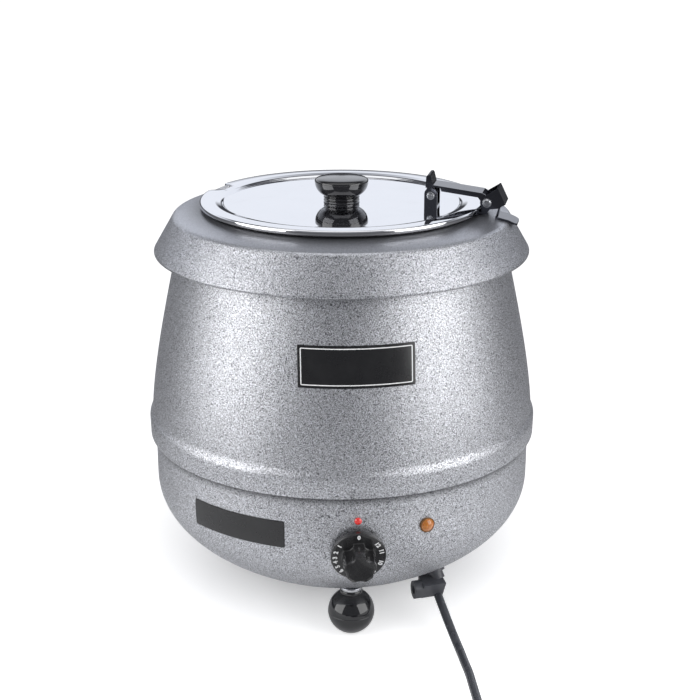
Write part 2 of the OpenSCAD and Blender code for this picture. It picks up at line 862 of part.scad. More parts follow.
module wiring() {
  block = [inner_row_r * cos(block_angle), inner_row_r * sin(block_angle), base_z + sheet + block_h + wire_gap];
  lug_d = thermostat_depth + lug / 2 - thermostat_face_z;
  pilot = front + pilot_angle;
  lugs = [for (side = [-1, 1]) inside_bowl(front, dial_z, lug_d, lug / 2 + wire_gap) + [side * lug_y, 0, 0]];
  pilot_under = inside_bowl(pilot, pilot_z, 20, pilot_r - 0.5 + wire_gap);
  pilot_side = inside_bowl(pilot, pilot_z, 12) - (pilot_r - 0.5 + wire_gap) * sideways(pilot);
  marker_side = inside_bowl(front, marker_z, 12) + (marker_r - 0.5 + wire_gap) * sideways(front);
  tabs = [for (x = [-1, 1]) [cutout_x + x * tab_x, cutout_y, pan_bottom - 16 - wire_gap]];
  ends = [for (side = [-1, 1]) element_end(side)];
  color("#7a3b2c") {
    // Supply cores from the gland to the block
    for (k = [-1, 1]) {
      core = k * 2.6 * sideways(gland_angle);
      wire(
        inside_bowl(gland_angle, gland_z, gland_neck_in + wire_gap) + core,
        inside_bowl(gland_angle, gland_z, gland_neck_in + 12) + core,
        block + [3 * k, -14, 16], block + [3 * k, -14, 0]
      );
    }
    // Block to thermostat, thermostat to cut-out, cut-out to element, element back to the block
    wire(block + [-3, -4, 0], block + [-12, -4, 12], lugs[1] + [24, 6, -54], lugs[1]);
    wire(lugs[0], lugs[0] - [0, 0, 70], tabs[0] - [0, 8, 20], tabs[0]);
    wire(tabs[1], tabs[1] - [0, 0, 12], ends[0] - [0, 0, 12], ends[0]);
    wire(ends[1], ends[1] - [0, 0, 14], block + [0, 12, 26], block + [0, 12, 0]);
    // Block to the pilot lamp, and on to the marker lamp
    wire(block + [4, 3, 0], block + [14, -6, 14], pilot_under + [16, 0, -48], pilot_under);
    wire(pilot_side, pilot_side - 12 * sideways(pilot), marker_side + [12, 0, 0], marker_side);
  }
}

// ---- lamps and plates --------------------------------------------------------------------------

// A lens from its back face to a low dome above its rim
function lens_profile(r, back, rim) = concat(
  [[0, back], [r, back], [r, rim]],
  arc([0, rim - r * 0.75], r * 1.25, 37, 90, 6)
);

module marker_lens() {
  color("#d8262c")
    on_bowl(front, marker_z)
      rotate_extrude()
        polygon(lens_profile(marker_r, 0.1, 0.8));
}

module marker_body() {
  color("#e9e4da")
    on_bowl(front, marker_z) {
      translate([0, 0, -16])
        cylinder(r = marker_r - 0.5, h = 16);
      translate([0, 0, -sheet - 2.2])
        cylinder(r = marker_r + 1.5, h = 2);
    }
}

module pilot_lens() {
  color("#c8741c")
    on_bowl(front + pilot_angle, pilot_z)
      rotate_extrude()
        polygon(lens_profile(pilot_r, 0.7, 1.4));
}

module pilot_bezel() {
  color("#2a2622")
    on_bowl(front + pilot_angle, pilot_z)
      rotate_extrude()
        polygon([
          [0, 0.05], [pilot_r + 0.8, 0.05], [pilot_r + 0.8, 1.2], [pilot_r + 0.3, 1.7],
          [pilot_r + 0.05, 1.7], [pilot_r + 0.05, 0.65], [0, 0.65]
        ]);
}

module pilot_body() {
  color("#2a2622")
    on_bowl(front + pilot_angle, pilot_z)
      translate([0, 0, -24])
        cylinder(r = pilot_r - 0.5, h = 24);
}

module pilot_nut() {
  color("silver")
    on_bowl(front + pilot_angle, pilot_z)
      translate([0, 0, -sheet - 4.4])
        ring(pilot_r + 2.6, pilot_r - 0.45, 4);
}

// A thin plate bent to the line of a spun shell, cut to a rounded outline seen from its middle
module bent_plate(line, angle, w, h, z, thick, corner) {
  intersection() {
    rotate([0, 0, angle - 40])
      rotate_extrude(angle = 80)
        polygon(concat(reversed(beside(line, -plate_gap)), beside(line, -thick - plate_gap)));
    rotate([0, 0, angle])
      translate([100, 0, z])
        rotate([90, 0, 90])
          linear_extrude(100)
            round_rect(w, h, corner);
  }
}

module name_plate() {
  color("#141416")
    bent_plate(
      [for (i = [0:6]) let (z = plate_z - plate_h / 2 - 1 + i * (plate_h + 2) / 6) [barrel_radius(z), z]],
      front, chord(plate_w, barrel_radius(plate_z)), plate_h, plate_z, 0.5, 3
    );
}

module label_plate() {
  color("#141416")
    bent_plate(
      [for (i = [0:6]) let (z = label_z - label_h / 2 - 1 + i * (label_h + 2) / 6) [bowl_radius(z), z]],
      label_angle, chord(label_w, bowl_r), label_h, label_z, 0.4, 1.2
    );
}
function chord(along, r) = 2 * r * sin(along / r / PI * 90);

// ---- cord ------------------------------------------------------------------------------------

module cord_gland() {
  color("#2c2e33")
    difference() {
      union() {
        on_bowl(gland_angle, gland_z) {
          translate([0, 0, 0.1])
            cylinder(r = gland_neck_r + 2.4, h = 2.6);
          translate([0, 0, -gland_neck_in])
            cylinder(r = gland_neck_r, h = gland_neck_in + 9);
        }
        at_block() {
          translate([-block_half[0], -block_half[1], -block_half[2]])
            cube(2 * block_half);
          rotate([0, -90, 0])
            cylinder(r = boss_r, h = boss_reach);
        }
      }
      at_block()
        translate([-boss_reach - 1, 0, 0])
          rotate([0, 90, 0])
            cylinder(r = boss_hole_r, h = 9);
      // Flat face where the cord leaves
      cord_exit_frame()
        cylinder(r = 30, h = 30);
    }
}
module at_block() {
  translate(block_centre)
    rotate([0, 0, block_turn])
      rotate([block_tip, 0, 0])
        children();
}
// Local +Z along the cord where it leaves the gland
module cord_exit_frame() {
  way = unit(cord_route[1] - cord_route[0]);
  translate(cord_route[0])
    rotate([0, acos(way[2]), atan2(way[1], way[0])])
      children();
}

module gland_nut() {
  color("#2c2e33")
    on_bowl(gland_angle, gland_z)
      translate([0, 0, -sheet - 5.6])
        ring(gland_neck_r + 3, gland_neck_r + 0.05, 4);
}

module gland_screw() {
  color("#55565a")
    at_block()
      translate([-boss_reach + 3.2, 0, 0])
        rotate([0, 90, 0])
          difference() {
            cylinder(r = boss_hole_r - 0.1, h = 4.8);
            translate([-5, -0.5, -1])
              cube([10, 1, 2]);
          }
}

module mains_cord() {
  color("#26272b")
    swept_tube(cord_route, cord_r, 10);
}

module cord_tail() {
  color("#26272b")
    swept_tube(tail_route, cord_r, 10);
}

module cord_coil() {
  color("#26272b")
    translate([coil_centre[0], coil_centre[1], 0.1])
      rotate_extrude()
        polygon([
          [coil_in, 3], [coil_in + 2, 0], [coil_out - 2, 0], [coil_out, 2.5],
          [coil_out, 5], [coil_out - 3, coil_h], [coil_in + 3, coil_h], [coil_in, 10]
        ]);
}

module cord_sleeve() {
  color("#1d1e21")
    translate(tail_route[len(tail_route) - 1])
      rotate([0, -90, 0])
        cylinder(r1 = cord_r + 0.7, r2 = cord_r + 3.4, h = sleeve_len);
}

module plug_body() {
  color("#1d1e21")
    translate(plug_at)
      rotate([90, 0, -90])
        linear_extrude(plug_len)
          round_rect(plug_w, plug_h, 8);
}

module plug_pins() {
  color("#c9a24a")
    translate(plug_at - [plug_len, 0, 0]) {
      for (y = [-6.35, 6.35])
        translate([-16, y - 0.75, 3 - 3.15])
          cube([16, 1.5, 6.3]);
      translate([-20, 0, -8.3])
        rotate([0, 90, 0])
          cylinder(r = 2.4, h = 20);
    }
}

// ---- lid ---------------------------------------------------------------------------------------

module lid() {
  mouth = notch_w / 2 + 4.5;
  root = notch_w / 2 - 2;
  root_r = lid_r - notch_d;
  fillet = 3;
  color("#e8eaf2")
    difference() {
      spun_sheet(lid_line, -lid_sheet);
      rotate([0, 0, notch_angle])
        translate([0, 0, sunk_z - 4])
          linear_extrude(12)
            polygon(concat(
              [[lid_r + 3, -mouth - 4], [lid_r - 1, -mouth]],
              bezier_points(
                [[lid_r - 3, -root - 3], [root_r + 1, -root], [root_r, -root], [root_r, -root + fillet]],
                5
              ),
              bezier_points(
                [[root_r, root - fillet], [root_r, root], [root_r + 1, root], [lid_r - 3, root + 3]],
                5
              ),
              [[lid_r - 1, mouth], [lid_r + 3, mouth + 4]]
            ));
      translate([0, 0, sunk_z - 4])
        cylinder(r = screw_r + 0.1, h = 8);
      at_hinge()
        for (y = [-1, 1])
          translate([lid_pin_x, y * rivet_y, sunk_z - 4])
            cylinder(r = rivet_r + 0.05, h = 8);
    }
}

module lid_knob() {
  neck_r = 15.4;
  color("#17171a")
    translate([0, 0, sunk_z])
      difference() {
        rotate_extrude()
          polygon(concat(
            [[0, 0], [neck_r, 0], [neck_r, 1.8], [neck_r - 1, 2.3], [neck_r - 1, 2.9], [neck_r, 3.4]],
            [[neck_r, 4.4], [neck_r - 1, 4.9], [neck_r - 1, 5.5]],
            bezier_points([[neck_r, 6], [knob_r - 2.6, 8], [knob_r, knob_h - 9], [knob_r, knob_h - 4.2]], 8),
            bezier_points(
              [[knob_r, knob_h - 4.2], [knob_r, knob_h - 1.4], [knob_r - 3, knob_h - 0.7], [0, knob_h]],
              8
            )
          ));
        translate([0, 0, -1])
          cylinder(r = screw_r + 0.05, h = 13);
      }
}

module knob_washer() {
  color("silver")
    translate([0, 0, sunk_z - lid_sheet - 1])
      ring(7, screw_r + 0.1, 1);
}

module knob_screw() {
  color("silver")
    translate([0, 0, sunk_z - lid_sheet - 1]) {
      translate([0, 0, -0.2])
        cylinder(r = screw_r, h = 12);
      translate([0, 0, -2.6])
        cylinder(r = 4.2, h = 2.6);
    }
}

// ---- hinge -------------------------------------------------------------------------------------

module lid_bracket() {
  ear_half = 5.5;
  ear_top = lid_pin_z + 1.2;
  color("#c9ccd4")
    at_hinge()
      difference() {
        union() {
          translate([lid_pin_x - ear_half, -ear_out, sunk_z])
            cube([2 * ear_half, 2 * ear_out, hinge_sheet]);
          across_pair(hinge_sheet, ear_out - hinge_sheet / 2) {
            translate([lid_pin_x - ear_half, sunk_z])
              square([2 * ear_half, ear_top - sunk_z]);
            translate([lid_pin_x, ear_top])
              circle(ear_half);
          }
        }
        pin_across(pin_r + 0.03, 30, lid_pin_x, lid_pin_z);
        for (y = [-1, 1])
          translate([lid_pin_x, y * rivet_y, sunk_z - 1])
            cylinder(r = rivet_r + 0.05, h = 4);
      }
}

module bracket_rivets() {
  color("silver")
    at_hinge()
      for (y = [-1, 1])
        translate([lid_pin_x, y * rivet_y, sunk_z - lid_sheet - 0.9]) {
          cylinder(r = rivet_r, h = lid_sheet + hinge_sheet + 1.7);
          cylinder(r = rivet_r + 1, h = 0.85);
          translate([0, 0, lid_sheet + hinge_sheet + 0.95])
            cylinder(r = rivet_r + 0.9, h = 0.75);
        }
}

module hinge_arm() {
  top = [arm_start, arm_end];
  under = beside(top, -hinge_sheet);
  tail = beside(top, -arm_drop);
  flange_y = arm_w / 2 - hinge_sheet / 2;
  inner_y = ear_out - hinge_sheet - 0.3 - hinge_sheet / 2;
  along = unit(arm_end - arm_start);
  color("#b9bdc9")
    at_hinge()
      difference() {
        union() {
          across(arm_w)
            polygon(concat(top, reversed(under)));
          // Bent-up inner end, two cheeks deep
          across(arm_w)
            polygon([for (p = [
              [-6.4, -2.4], [-6, 6.5], [-5, 8.1], [-3, 8.5], [-2, 7.3], [0, -0.5], [0, -2.4]
            ]) arm_start + p]);
          // Folded-down edges, from beyond the lid bracket to the pin
          across_pair(hinge_sheet, flange_y)
            polygon([
              arm_start + 5.6 * along, arm_end, [arm_pin_x, arm_pin_z + pin_boss_r],
              [arm_pin_x - pin_boss_r, arm_pin_z], tail[1] - 3 * along, tail[0] + 7.6 * along
            ]);
          across_pair(hinge_sheet, flange_y)
            translate([arm_pin_x, arm_pin_z])
              circle(pin_boss_r);
          // Inner ears down to the lid's pin
          across_pair(hinge_sheet, inner_y) {
            polygon([
              arm_start + [-6, -1.4], arm_start, [lid_pin_x + 3.9, lid_pin_z], [lid_pin_x - 3.9, lid_pin_z]
            ]);
            translate([lid_pin_x, lid_pin_z])
              circle(3.9);
          }
        }
        pin_across(pin_r + pin_gap, 40, arm_pin_x, arm_pin_z);
        pin_across(pin_r + pin_gap, 40, lid_pin_x, lid_pin_z);
      }
}

module slotted_pin(x, z, half, head_r) {
  at_hinge()
    translate([x, 0, z])
      rotate([90, 0, 0])
        difference() {
          union() {
            translate([0, 0, -half - 4])
              cylinder(r = pin_r, h = 2 * half + 4.2);
            translate([0, 0, half + 0.1])
              cylinder(r = head_r, h = 0.8);
            translate([0, 0, half + 0.8])
              cylinder(r1 = head_r - 0.6, r2 = head_r - 1.4, h = 1.2);
          }
          translate([-head_r, -0.4, half + 1.3])
            cube([2 * head_r, 0.8, 2]);
        }
}
module pin_nut(x, z, half) {
  at_hinge()
    translate([x, half + 0.1, z])
      rotate([-90, 0, 0])
        difference() {
          hex(6.4, 2.8);
          translate([0, 0, -1])
            cylinder(r = pin_r + 0.03, h = 5);
        }
}
module arm_pin() { color("#c4c6cc") slotted_pin(arm_pin_x, arm_pin_z, clevis_half, 3.9); }
module arm_pin_nut() { color("#c4c6cc") pin_nut(arm_pin_x, arm_pin_z, clevis_half); }
module lid_pin() { color("#c4c6cc") slotted_pin(lid_pin_x, lid_pin_z, ear_out, 3.4); }
module lid_pin_nut() { color("#c4c6cc") pin_nut(lid_pin_x, lid_pin_z, ear_out); }

module hinge_bracket() {
  pin = [arm_pin_x, arm_pin_z];
  web_top = pin + [8.7, 12.3];
  web_end = pin + [15.3, -1.1];
  lip_end = pin + [9.1, -4.6];
  ear_y = clevis_half - hinge_sheet / 2;
  color("#b9bdc9") {
    at_hinge()
      difference() {
        union() {
          across_pair(hinge_sheet, ear_y) {
            translate(pin)
              circle(ear_r);
            polygon(concat(
              [for (a = [122, 200, -75]) pin + ear_r * [cos(a), sin(a)]], [lip_end, web_end, web_top]
            ));
          }
          // Sloping back, and the lip folded in under it
          across(2 * clevis_half)
            polygon(concat([web_top, web_end], reversed(beside([web_top, web_end], -hinge_sheet))));
          across(2 * clevis_half)
            polygon(concat([web_end, lip_end], reversed(beside([web_end, lip_end], -hinge_sheet))));
          // Neck down to a flat foot on the shoulder
          across(neck_w)
            polygon([
              lip_end, lip_end + [1.7, 1], [foot_x0 + 2.2, shoulder_z(foot_x0 + 2.2) + 1],
              [foot_x0 + 0.4, shoulder_z(foot_x0 + 0.4) + 1]
            ]);
          intersection() {
            across(foot_w)
              polygon(concat(foot_line, reversed(beside(foot_line, foot_t))));
            translate([(foot_x0 + foot_x1) / 2, 0, 300])
              linear_extrude(100)
                round_rect(foot_x1 - foot_x0, foot_w, 4);
          }
          // Side straps down to the clip on the pot's rim
          across_pair(hinge_sheet, ear_y)
            polygon([
              pin + ear_r * [cos(215), sin(215)], pin + ear_r * [cos(-60), sin(-60)],
              [arm_pin_x - 0.6, tongue_z], [arm_pin_x - 4.2, tongue_z]
            ]);
          across(2 * clevis_half)
            polygon([
              [rim_r - 0.6, tongue_z], [arm_pin_x - 0.6, tongue_z],
              [arm_pin_x - 0.6, tongue_z + tongue_t], [rim_r - 0.6, tongue_z + tongue_t]
            ]);
          rotate([0, 0, -rim_clip_half])
            rotate_extrude(angle = 2 * rim_clip_half)
              translate([rim_r - 0.6, tongue_z])
                square([2, tongue_t]);
        }
        pin_across(pin_r + 0.03, 40, arm_pin_x, arm_pin_z);
        translate([0, 0, rim_z - 2])
          cylinder(r = rim_r + 0.1, h = 12);
      }
  }
}

lower_bowl();
upper_shell();
collar();
water_pan();
inner_pot();
base_cover();
tie_rods();
tie_nuts();
foot_front();
foot_rear_right();
foot_rear_left();
foot_ferrules();
foot_studs();
foot_nuts();
heating_element();
element_clamps();
clamp_studs();
thermostat_body();
thermostat_shaft();
thermostat_screws();
dial();
capillary();
bulb_clip();
thermal_cutout();
terminal_block();
earth_stud();
wiring();
marker_lens();
marker_body();
pilot_lens();
pilot_bezel();
pilot_body();
pilot_nut();
name_plate();
label_plate();
cord_gland();
gland_nut();
gland_screw();
cord_sleeve();
mains_cord();
cord_coil();
cord_tail();
plug_body();
plug_pins();
lid();
lid_knob();
knob_washer();
knob_screw();
lid_bracket();
bracket_rivets();
hinge_arm();
arm_pin();
arm_pin_nut();
lid_pin();
lid_pin_nut();
hinge_bracket();
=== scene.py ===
"""A soup kettle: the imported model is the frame, and the pieces here give it its finished surfaces.

Lengths in the shape functions are in millimetres and become metres when a piece is made.
"""
import bmesh
import bpy
import numpy as np
from mathutils import Matrix, Vector


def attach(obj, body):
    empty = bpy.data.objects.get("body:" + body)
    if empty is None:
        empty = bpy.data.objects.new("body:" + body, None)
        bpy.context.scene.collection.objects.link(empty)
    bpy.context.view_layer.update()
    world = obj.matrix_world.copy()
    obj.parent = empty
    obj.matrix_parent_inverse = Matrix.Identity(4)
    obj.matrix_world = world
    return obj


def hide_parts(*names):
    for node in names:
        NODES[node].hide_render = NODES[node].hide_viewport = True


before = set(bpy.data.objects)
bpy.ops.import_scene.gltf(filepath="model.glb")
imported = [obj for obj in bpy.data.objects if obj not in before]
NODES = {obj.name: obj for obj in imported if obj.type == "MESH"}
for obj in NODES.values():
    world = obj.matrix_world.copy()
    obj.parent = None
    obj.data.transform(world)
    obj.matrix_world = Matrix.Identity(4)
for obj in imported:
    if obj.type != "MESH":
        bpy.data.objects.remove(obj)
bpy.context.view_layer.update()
MM = 0.001

# ---- sizes shared with the CAD source ------------------------------------------------------

SHEET = 1.2
BAND_R, BAND_Z, BAND_H = 171.0, 156.0, 15.5
BASE_Z, BASE_R, ACCESS_R = 43.8, 105.6, 75.0
BOWL_R = BAND_R - 4.8
# Where the bowl's wall turns vertical
BOWL_TURN_Z = BAND_Z - 38
# The angle at which the bowl leaves its flat bottom, and how far its curve's two handles reach
BOWL_START, BOWL_REACH, BOWL_PULL = np.radians(29), 0.59, 0.43
CORNER_R, CORNER_Z, CORNER_ROUND = 144.4, 350.0, 5.0
BARREL_LOW_R, BARREL_LOW_Z = BAND_R - 2.8, BAND_Z + BAND_H + 9.5
BARREL_TOP_R, BARREL_TOP_Z = 136.4, CORNER_Z - 1.8
SKIRT_R, SKIRT_H, HEM_ROUND = 161.6, 30.6, 1.8
MOUTH_R, MOUTH_Z = 115.6, 356.0
SHOULDER_SLOPE = np.arctan2(MOUTH_Z - CORNER_Z, CORNER_R - MOUTH_R - 3)
POT_R, POT_BOTTOM, POT_ROUND, POT_SHEET = 114.4, 100.1, 22, 0.8
RIM_Z, RIM_TOP, RIM_R, BEAD_ROUND = 356.3, 361.1, 119.0, 1.9
PAN_R, PAN_BOTTOM, PAN_ROUND, PAN_SHEET = 124.0, 84.1, 12, 1.0
LID_R, LID_SHEET, LID_TOP, SUNK_R, SUNK_Z = 121.4, 0.8, 362.2, 102.4, 359.0
DIAL_Z, DIAL_R = 107.0, 22.5
FRONT = 270.0
CORD_R = 3.75

# ---- curves and frames ---------------------------------------------------------------------


def bezier(p, n):
    """n + 1 points of the cubic curve with the four control points p."""
    t = np.linspace(0, 1, n + 1)[:, None]
    p = np.asarray(p, float)
    return (1 - t) ** 3 * p[0] + 3 * t * (1 - t) ** 2 * p[1] + 3 * t * t * (1 - t) * p[2] + t ** 3 * p[3]


def arc(centre, r, a0, a1, n=8):
    """n + 1 points on a circle's arc, angles in degrees."""
    a = np.radians(np.linspace(a0, a1, n + 1))
    return np.stack([centre[0] + r * np.cos(a), centre[1] + r * np.sin(a)], 1)


def line(*parts):
    """One profile from several runs of [radius, height] points."""
    return np.concatenate([np.atleast_2d(np.asarray(p, float)) for p in parts])


def beside(p, d):
    """The profile p moved by d to its left, corners mitred."""
    s = np.diff(p, axis=0)
    s /= np.linalg.norm(s, axis=1)[:, None]
    left = np.stack([-s[:, 1], s[:, 0]], 1)
    a, b = np.vstack([left[:1], left]), np.vstack([left, left[-1:]])
    m = a + b
    m /= np.linalg.norm(m, axis=1)[:, None]
    return p + m * d / np.maximum(0.5, (m * b).sum(1))[:, None]


def sheet_profile(p, d):
    """A closed profile of a sheet whose outside is the line p and whose thickness d lies to its left."""
    return np.concatenate([p, beside(p, d)[::-1]])


def polar(r, z, a):
    """Points round the axis at the angles a: (r cos a, r sin a, z)."""
    return np.stack([r * np.cos(a), r * np.sin(a), z + 0 * a], -1)


def smooth_step(x):
    """0 below 0, 1 above 1, and 3x^2 - 2x^3 between."""
    x = np.clip(x, 0, 1)
    return x * x * (3 - 2 * x)


def hump(x, at, width):
    """A bell of height 1 at `at`: exp(-((x - at) / width)^2)."""
    return np.exp(-(((x - at) / width) ** 2))


def squared(wave, power):
    """A sine or cosine pushed outwards, sign(w) |w|^power, which turns a circle into a superellipse."""
    return np.sign(wave) * np.abs(wave) ** power


def bowl_curve():
    """The bowl's wall from its flat bottom, up and outwards until it stands vertical."""
    c, s = np.cos(BOWL_START), np.sin(BOWL_START)
    reach = BOWL_REACH * (BOWL_R - BASE_R) / c
    return [
        [BASE_R, BASE_Z], [BASE_R + reach * c, BASE_Z + reach * s],
        [BOWL_R, BOWL_TURN_Z - BOWL_PULL * (BOWL_TURN_Z - BASE_Z)], [BOWL_R, BOWL_TURN_Z],
    ]


BOWL_POINTS = bezier(bowl_curve(), 2000)


def bowl_radius(z):
    """The bowl's outside radius at a height."""
    return np.where(z >= BOWL_TURN_Z, BOWL_R, np.interp(z, BOWL_POINTS[:, 1], BOWL_POINTS[:, 0]))


def barrel_curve():
    """The barrel's wall from above the band to under the collar, nearly upright at first, then leaning in."""
    h = BARREL_TOP_Z - BARREL_LOW_Z
    return [
        [BARREL_LOW_R, BARREL_LOW_Z], [BARREL_LOW_R - 0.018 * h, BARREL_LOW_Z + 0.27 * h],
        [BARREL_TOP_R + 0.076 * h, BARREL_TOP_Z - 0.34 * h], [BARREL_TOP_R, BARREL_TOP_Z],
    ]


BARREL_POINTS = bezier(barrel_curve(), 2000)


def barrel_radius(z):
    """The barrel's outside radius at a height."""
    return np.interp(z, BARREL_POINTS[:, 1], BARREL_POINTS[:, 0])


def rotation(axis, degrees):
    """A turn about one axis as a 4 x 4 frame."""
    return Matrix.Rotation(np.radians(degrees), 4, axis)


def on_bowl(angle, z):
    """The frame that stands on the bowl: +Z is the outward normal, -X runs up the wall."""
    r = float(bowl_radius(z))
    lean = np.degrees(np.arctan2(float(bowl_radius(z + 1) - bowl_radius(z - 1)), 2))
    a = np.radians(angle)
    spot = Matrix.Translation((r * np.cos(a), r * np.sin(a), z))
    return spot @ rotation("Z", angle) @ rotation("Y", 90 + lean)


def moved(points, frame_matrix):
    """Points taken through a 4 x 4 frame."""
    m = np.array(frame_matrix)
    return points @ m[:3, :3].T + m[:3, 3]


# ---- making pieces -------------------------------------------------------------------------


def linked(name, data):
    """A new object in the scene, at the origin."""
    made = bpy.data.objects.new(name, data)
    bpy.context.scene.collection.objects.link(made)
    return made


def settle(made, body, stands_for=(), finish=None):
    """Gives a finished piece its material, its body and the CAD nodes it stands for."""
    if finish is not None:
        made.data.materials.clear()
        made.data.materials.append(finish)
    if stands_for:
        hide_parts(*stands_for)
    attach(made, body)


def piece(name, points, faces, body, stands_for=(), finish=None, slot=None, sharp=35.0):
    """A mesh object from points in millimetres; edges sharper than `sharp` degrees stay crisp."""
    mesh = bpy.data.meshes.new(name)
    mesh.from_pydata((np.asarray(points) * MM).tolist(), [], [list(map(int, f)) for f in faces])
    mesh.validate()
    mesh.shade_smooth()
    mesh.set_sharp_from_angle(angle=np.radians(sharp))
    made = linked(name, mesh)
    settle(made, body, stands_for, finish)
    return made


def grid_faces(rows, columns, along=False):
    """Quads over a grid of rows x columns points whose rows close on themselves; along closes its columns."""
    i = np.arange(rows if along else rows - 1)[:, None]
    j = np.arange(columns)[None, :]
    i2, j2 = (i + 1) % rows, (j + 1) % columns
    corners = [i * columns + j, i * columns + j2, i2 * columns + j2, i2 * columns + j]
    return np.stack(corners, -1).reshape(-1, 4)


def fan_faces(first, columns, centre, outward):
    """Triangles that close a ring of points onto one centre point."""
    j = np.arange(columns)
    j2 = (j + 1) % columns
    ring = np.stack([first + j, first + j2], 1) if outward else np.stack([first + j2, first + j], 1)
    return np.column_stack([ring, np.full(columns, centre)])


def surface(grid, along=False):
    """Points and faces of a grid[row, column] closed round its rows; an end row of one point is a pole."""
    rows, columns = grid.shape[:2]
    if along:
        return grid.reshape(-1, 3), grid_faces(rows, columns, True).tolist()
    start = int(np.ptp(grid[0], axis=0).max() < 1e-6)
    end = int(np.ptp(grid[-1], axis=0).max() < 1e-6)
    inner = grid[start:rows - end]
    points = [inner.reshape(-1, 3)]
    faces = grid_faces(len(inner), columns).tolist()
    count = inner.shape[0] * columns
    if start:
        points.append(grid[0, :1])
        faces += fan_faces(0, columns, count, False).tolist()
        count += 1
    if end:
        points.append(grid[-1, :1])
        faces += fan_faces((len(inner) - 1) * columns, columns, count, True).tolist()
    return np.concatenate(points), faces


def turned_grid(profile, steps=256):
    """A [radius, height] profile turned round the axis: the point is (r cos a, r sin a, z)."""
    a = np.linspace(0, 2 * np.pi, steps, endpoint=False)
    return polar(profile[:, 0][:, None], profile[:, 1][:, None], a)


def turned(name, profile, body, closed=False, place=None, steps=256, **given):
    """A turned piece whose outside lies on the profile's right.

    An open profile runs from axis to axis, a closed one is a ring.
    """
    points, faces = surface(turned_grid(np.asarray(profile, float), steps), along=closed)
    if place is not None:
        points = moved(points, place)
    return piece(name, points, faces, body, **given)


def joined(parts):
    """Several (points, faces) as one."""
    points, faces, n = [], [], 0
    for p, f in parts:
        points.append(p)
        faces += [[k + n for k in face] for face in f]
        n += len(p)
    return np.concatenate(points), faces


MERGE_GAP = 2e-6
FLAT_ANGLE = np.radians(0.6)
CRISP_ANGLE = np.radians(32.0)


def dressed(node, body, finish, bevel, segments=3):
    """A merged copy of a CAD node's mesh with flat faces joined and edges rounded, standing for the node."""
    name = node + "_dressed"
    mesh = NODES[node].data.copy()
    mesh.name = name
    b = bmesh.new()
    b.from_mesh(mesh)
    bmesh.ops.remove_doubles(b, verts=b.verts, dist=MERGE_GAP)
    bmesh.ops.dissolve_limit(b, angle_limit=FLAT_ANGLE, verts=b.verts, edges=b.edges)
    b.to_mesh(mesh)
    b.free()
    mesh.shade_smooth()
    mesh.set_sharp_from_angle(angle=CRISP_ANGLE)
    made = linked(name, mesh)
    cut = made.modifiers.new("rounded edges", "BEVEL")
    cut.width = bevel * MM
    cut.segments = segments
    cut.limit_method = "ANGLE"
    cut.angle_limit = CRISP_ANGLE
    cut.use_clamp_overlap = True
    even = made.modifiers.new("flat faces stay flat", "WEIGHTED_NORMAL")
    even.weight = 100
    even.keep_sharp = True
    settle(made, body, (node,), finish)
    return made


# ---- node helpers --------------------------------------------------------------------------


def feed(tree, socket, value):
    """Links a node's output to a socket, or sets a plain value there; a colour of three gets its fourth."""
    if isinstance(value, bpy.types.NodeSocket):
        tree.links.new(value, socket)
    elif socket.type == "RGBA" and len(value) == 3:
        socket.default_value = (*value, 1)
    else:
        socket.default_value = value


def put(tree, kind, sockets=None, **settings):
    """A shader node with its settings, and each named socket fed."""
    made = tree.nodes.new("ShaderNode" + kind)
    for key, value in settings.items():
        setattr(made, key, value)
    for key, value in (sockets or {}).items():
        feed(tree, made.inputs[key], value)
    return made


def math(tree, operation, a, b, clamp=False):
    """The result of one Math node."""
    return put(tree, "Math", {0: a, 1: b}, operation=operation, use_clamp=clamp).outputs[0]


def plus(tree, a, b):
    return math(tree, "ADD", a, b)


def minus(tree, a, b):
    return math(tree, "SUBTRACT", a, b)


def times(tree, a, b):
    return math(tree, "MULTIPLY", a, b)


def span(tree, value, low, high, to_low=0.0, to_high=1.0):
    """value rescaled from low..high to to_low..to_high, clamped."""
    ends = {"From Min": low, "From Max": high, "To Min": to_low, "To Max": to_high}
    return put(tree, "MapRange", {"Value": value, **ends}, clamp=True).outputs["Result"]


def blend(tree, fac, a, b):
    """Two colours mixed by fac."""
    made = put(tree, "Mix", data_type="RGBA", blend_type="MIX")
    for key, value in ((0, fac), (6, a), (7, b)):
        feed(tree, made.inputs[key], value)
    return made.outputs[2]


def length(tree, vector):
    """How long a vector is."""
    return put(tree, "VectorMath", {0: vector}, operation="LENGTH").outputs["Value"]


def axis_distance(tree, split):
    """How far a place lies from the kettle's axis, from its three separate coordinates."""
    return length(tree, put(tree, "CombineXYZ", {0: split[0], 1: split[1]}).outputs[0])


def place_of(tree):
    """Object coordinates."""
    return put(tree, "TexCoord").outputs["Object"]


def noise(tree, where, scale, detail=2.0, roughness=0.5):
    """A noise texture's value."""
    sockets = {"Vector": where, "Scale": scale, "Detail": detail, "Roughness": roughness}
    return put(tree, "TexNoise", sockets).outputs["Fac"]


def group(name, inputs, outputs):
    """An empty node group with named float or colour sockets; returns it with its input node's sockets."""
    tree = bpy.data.node_groups.new(name, "ShaderNodeTree")
    for label, value in inputs:
        colour = isinstance(value, tuple)
        kind = "NodeSocketColor" if colour else "NodeSocketFloat"
        socket = tree.interface.new_socket(label, in_out="INPUT", socket_type=kind)
        socket.default_value = (*value, 1) if colour else value
    for label, kind in outputs:
        tree.interface.new_socket(label, in_out="OUTPUT", socket_type="NodeSocket" + kind)
    return tree, tree.nodes.new("NodeGroupInput").outputs


def group_out(tree, **values):
    """Links a group's results to its outputs."""
    out = tree.nodes.new("NodeGroupOutput")
    for key, value in values.items():
        tree.links.new(value, out.inputs[key])


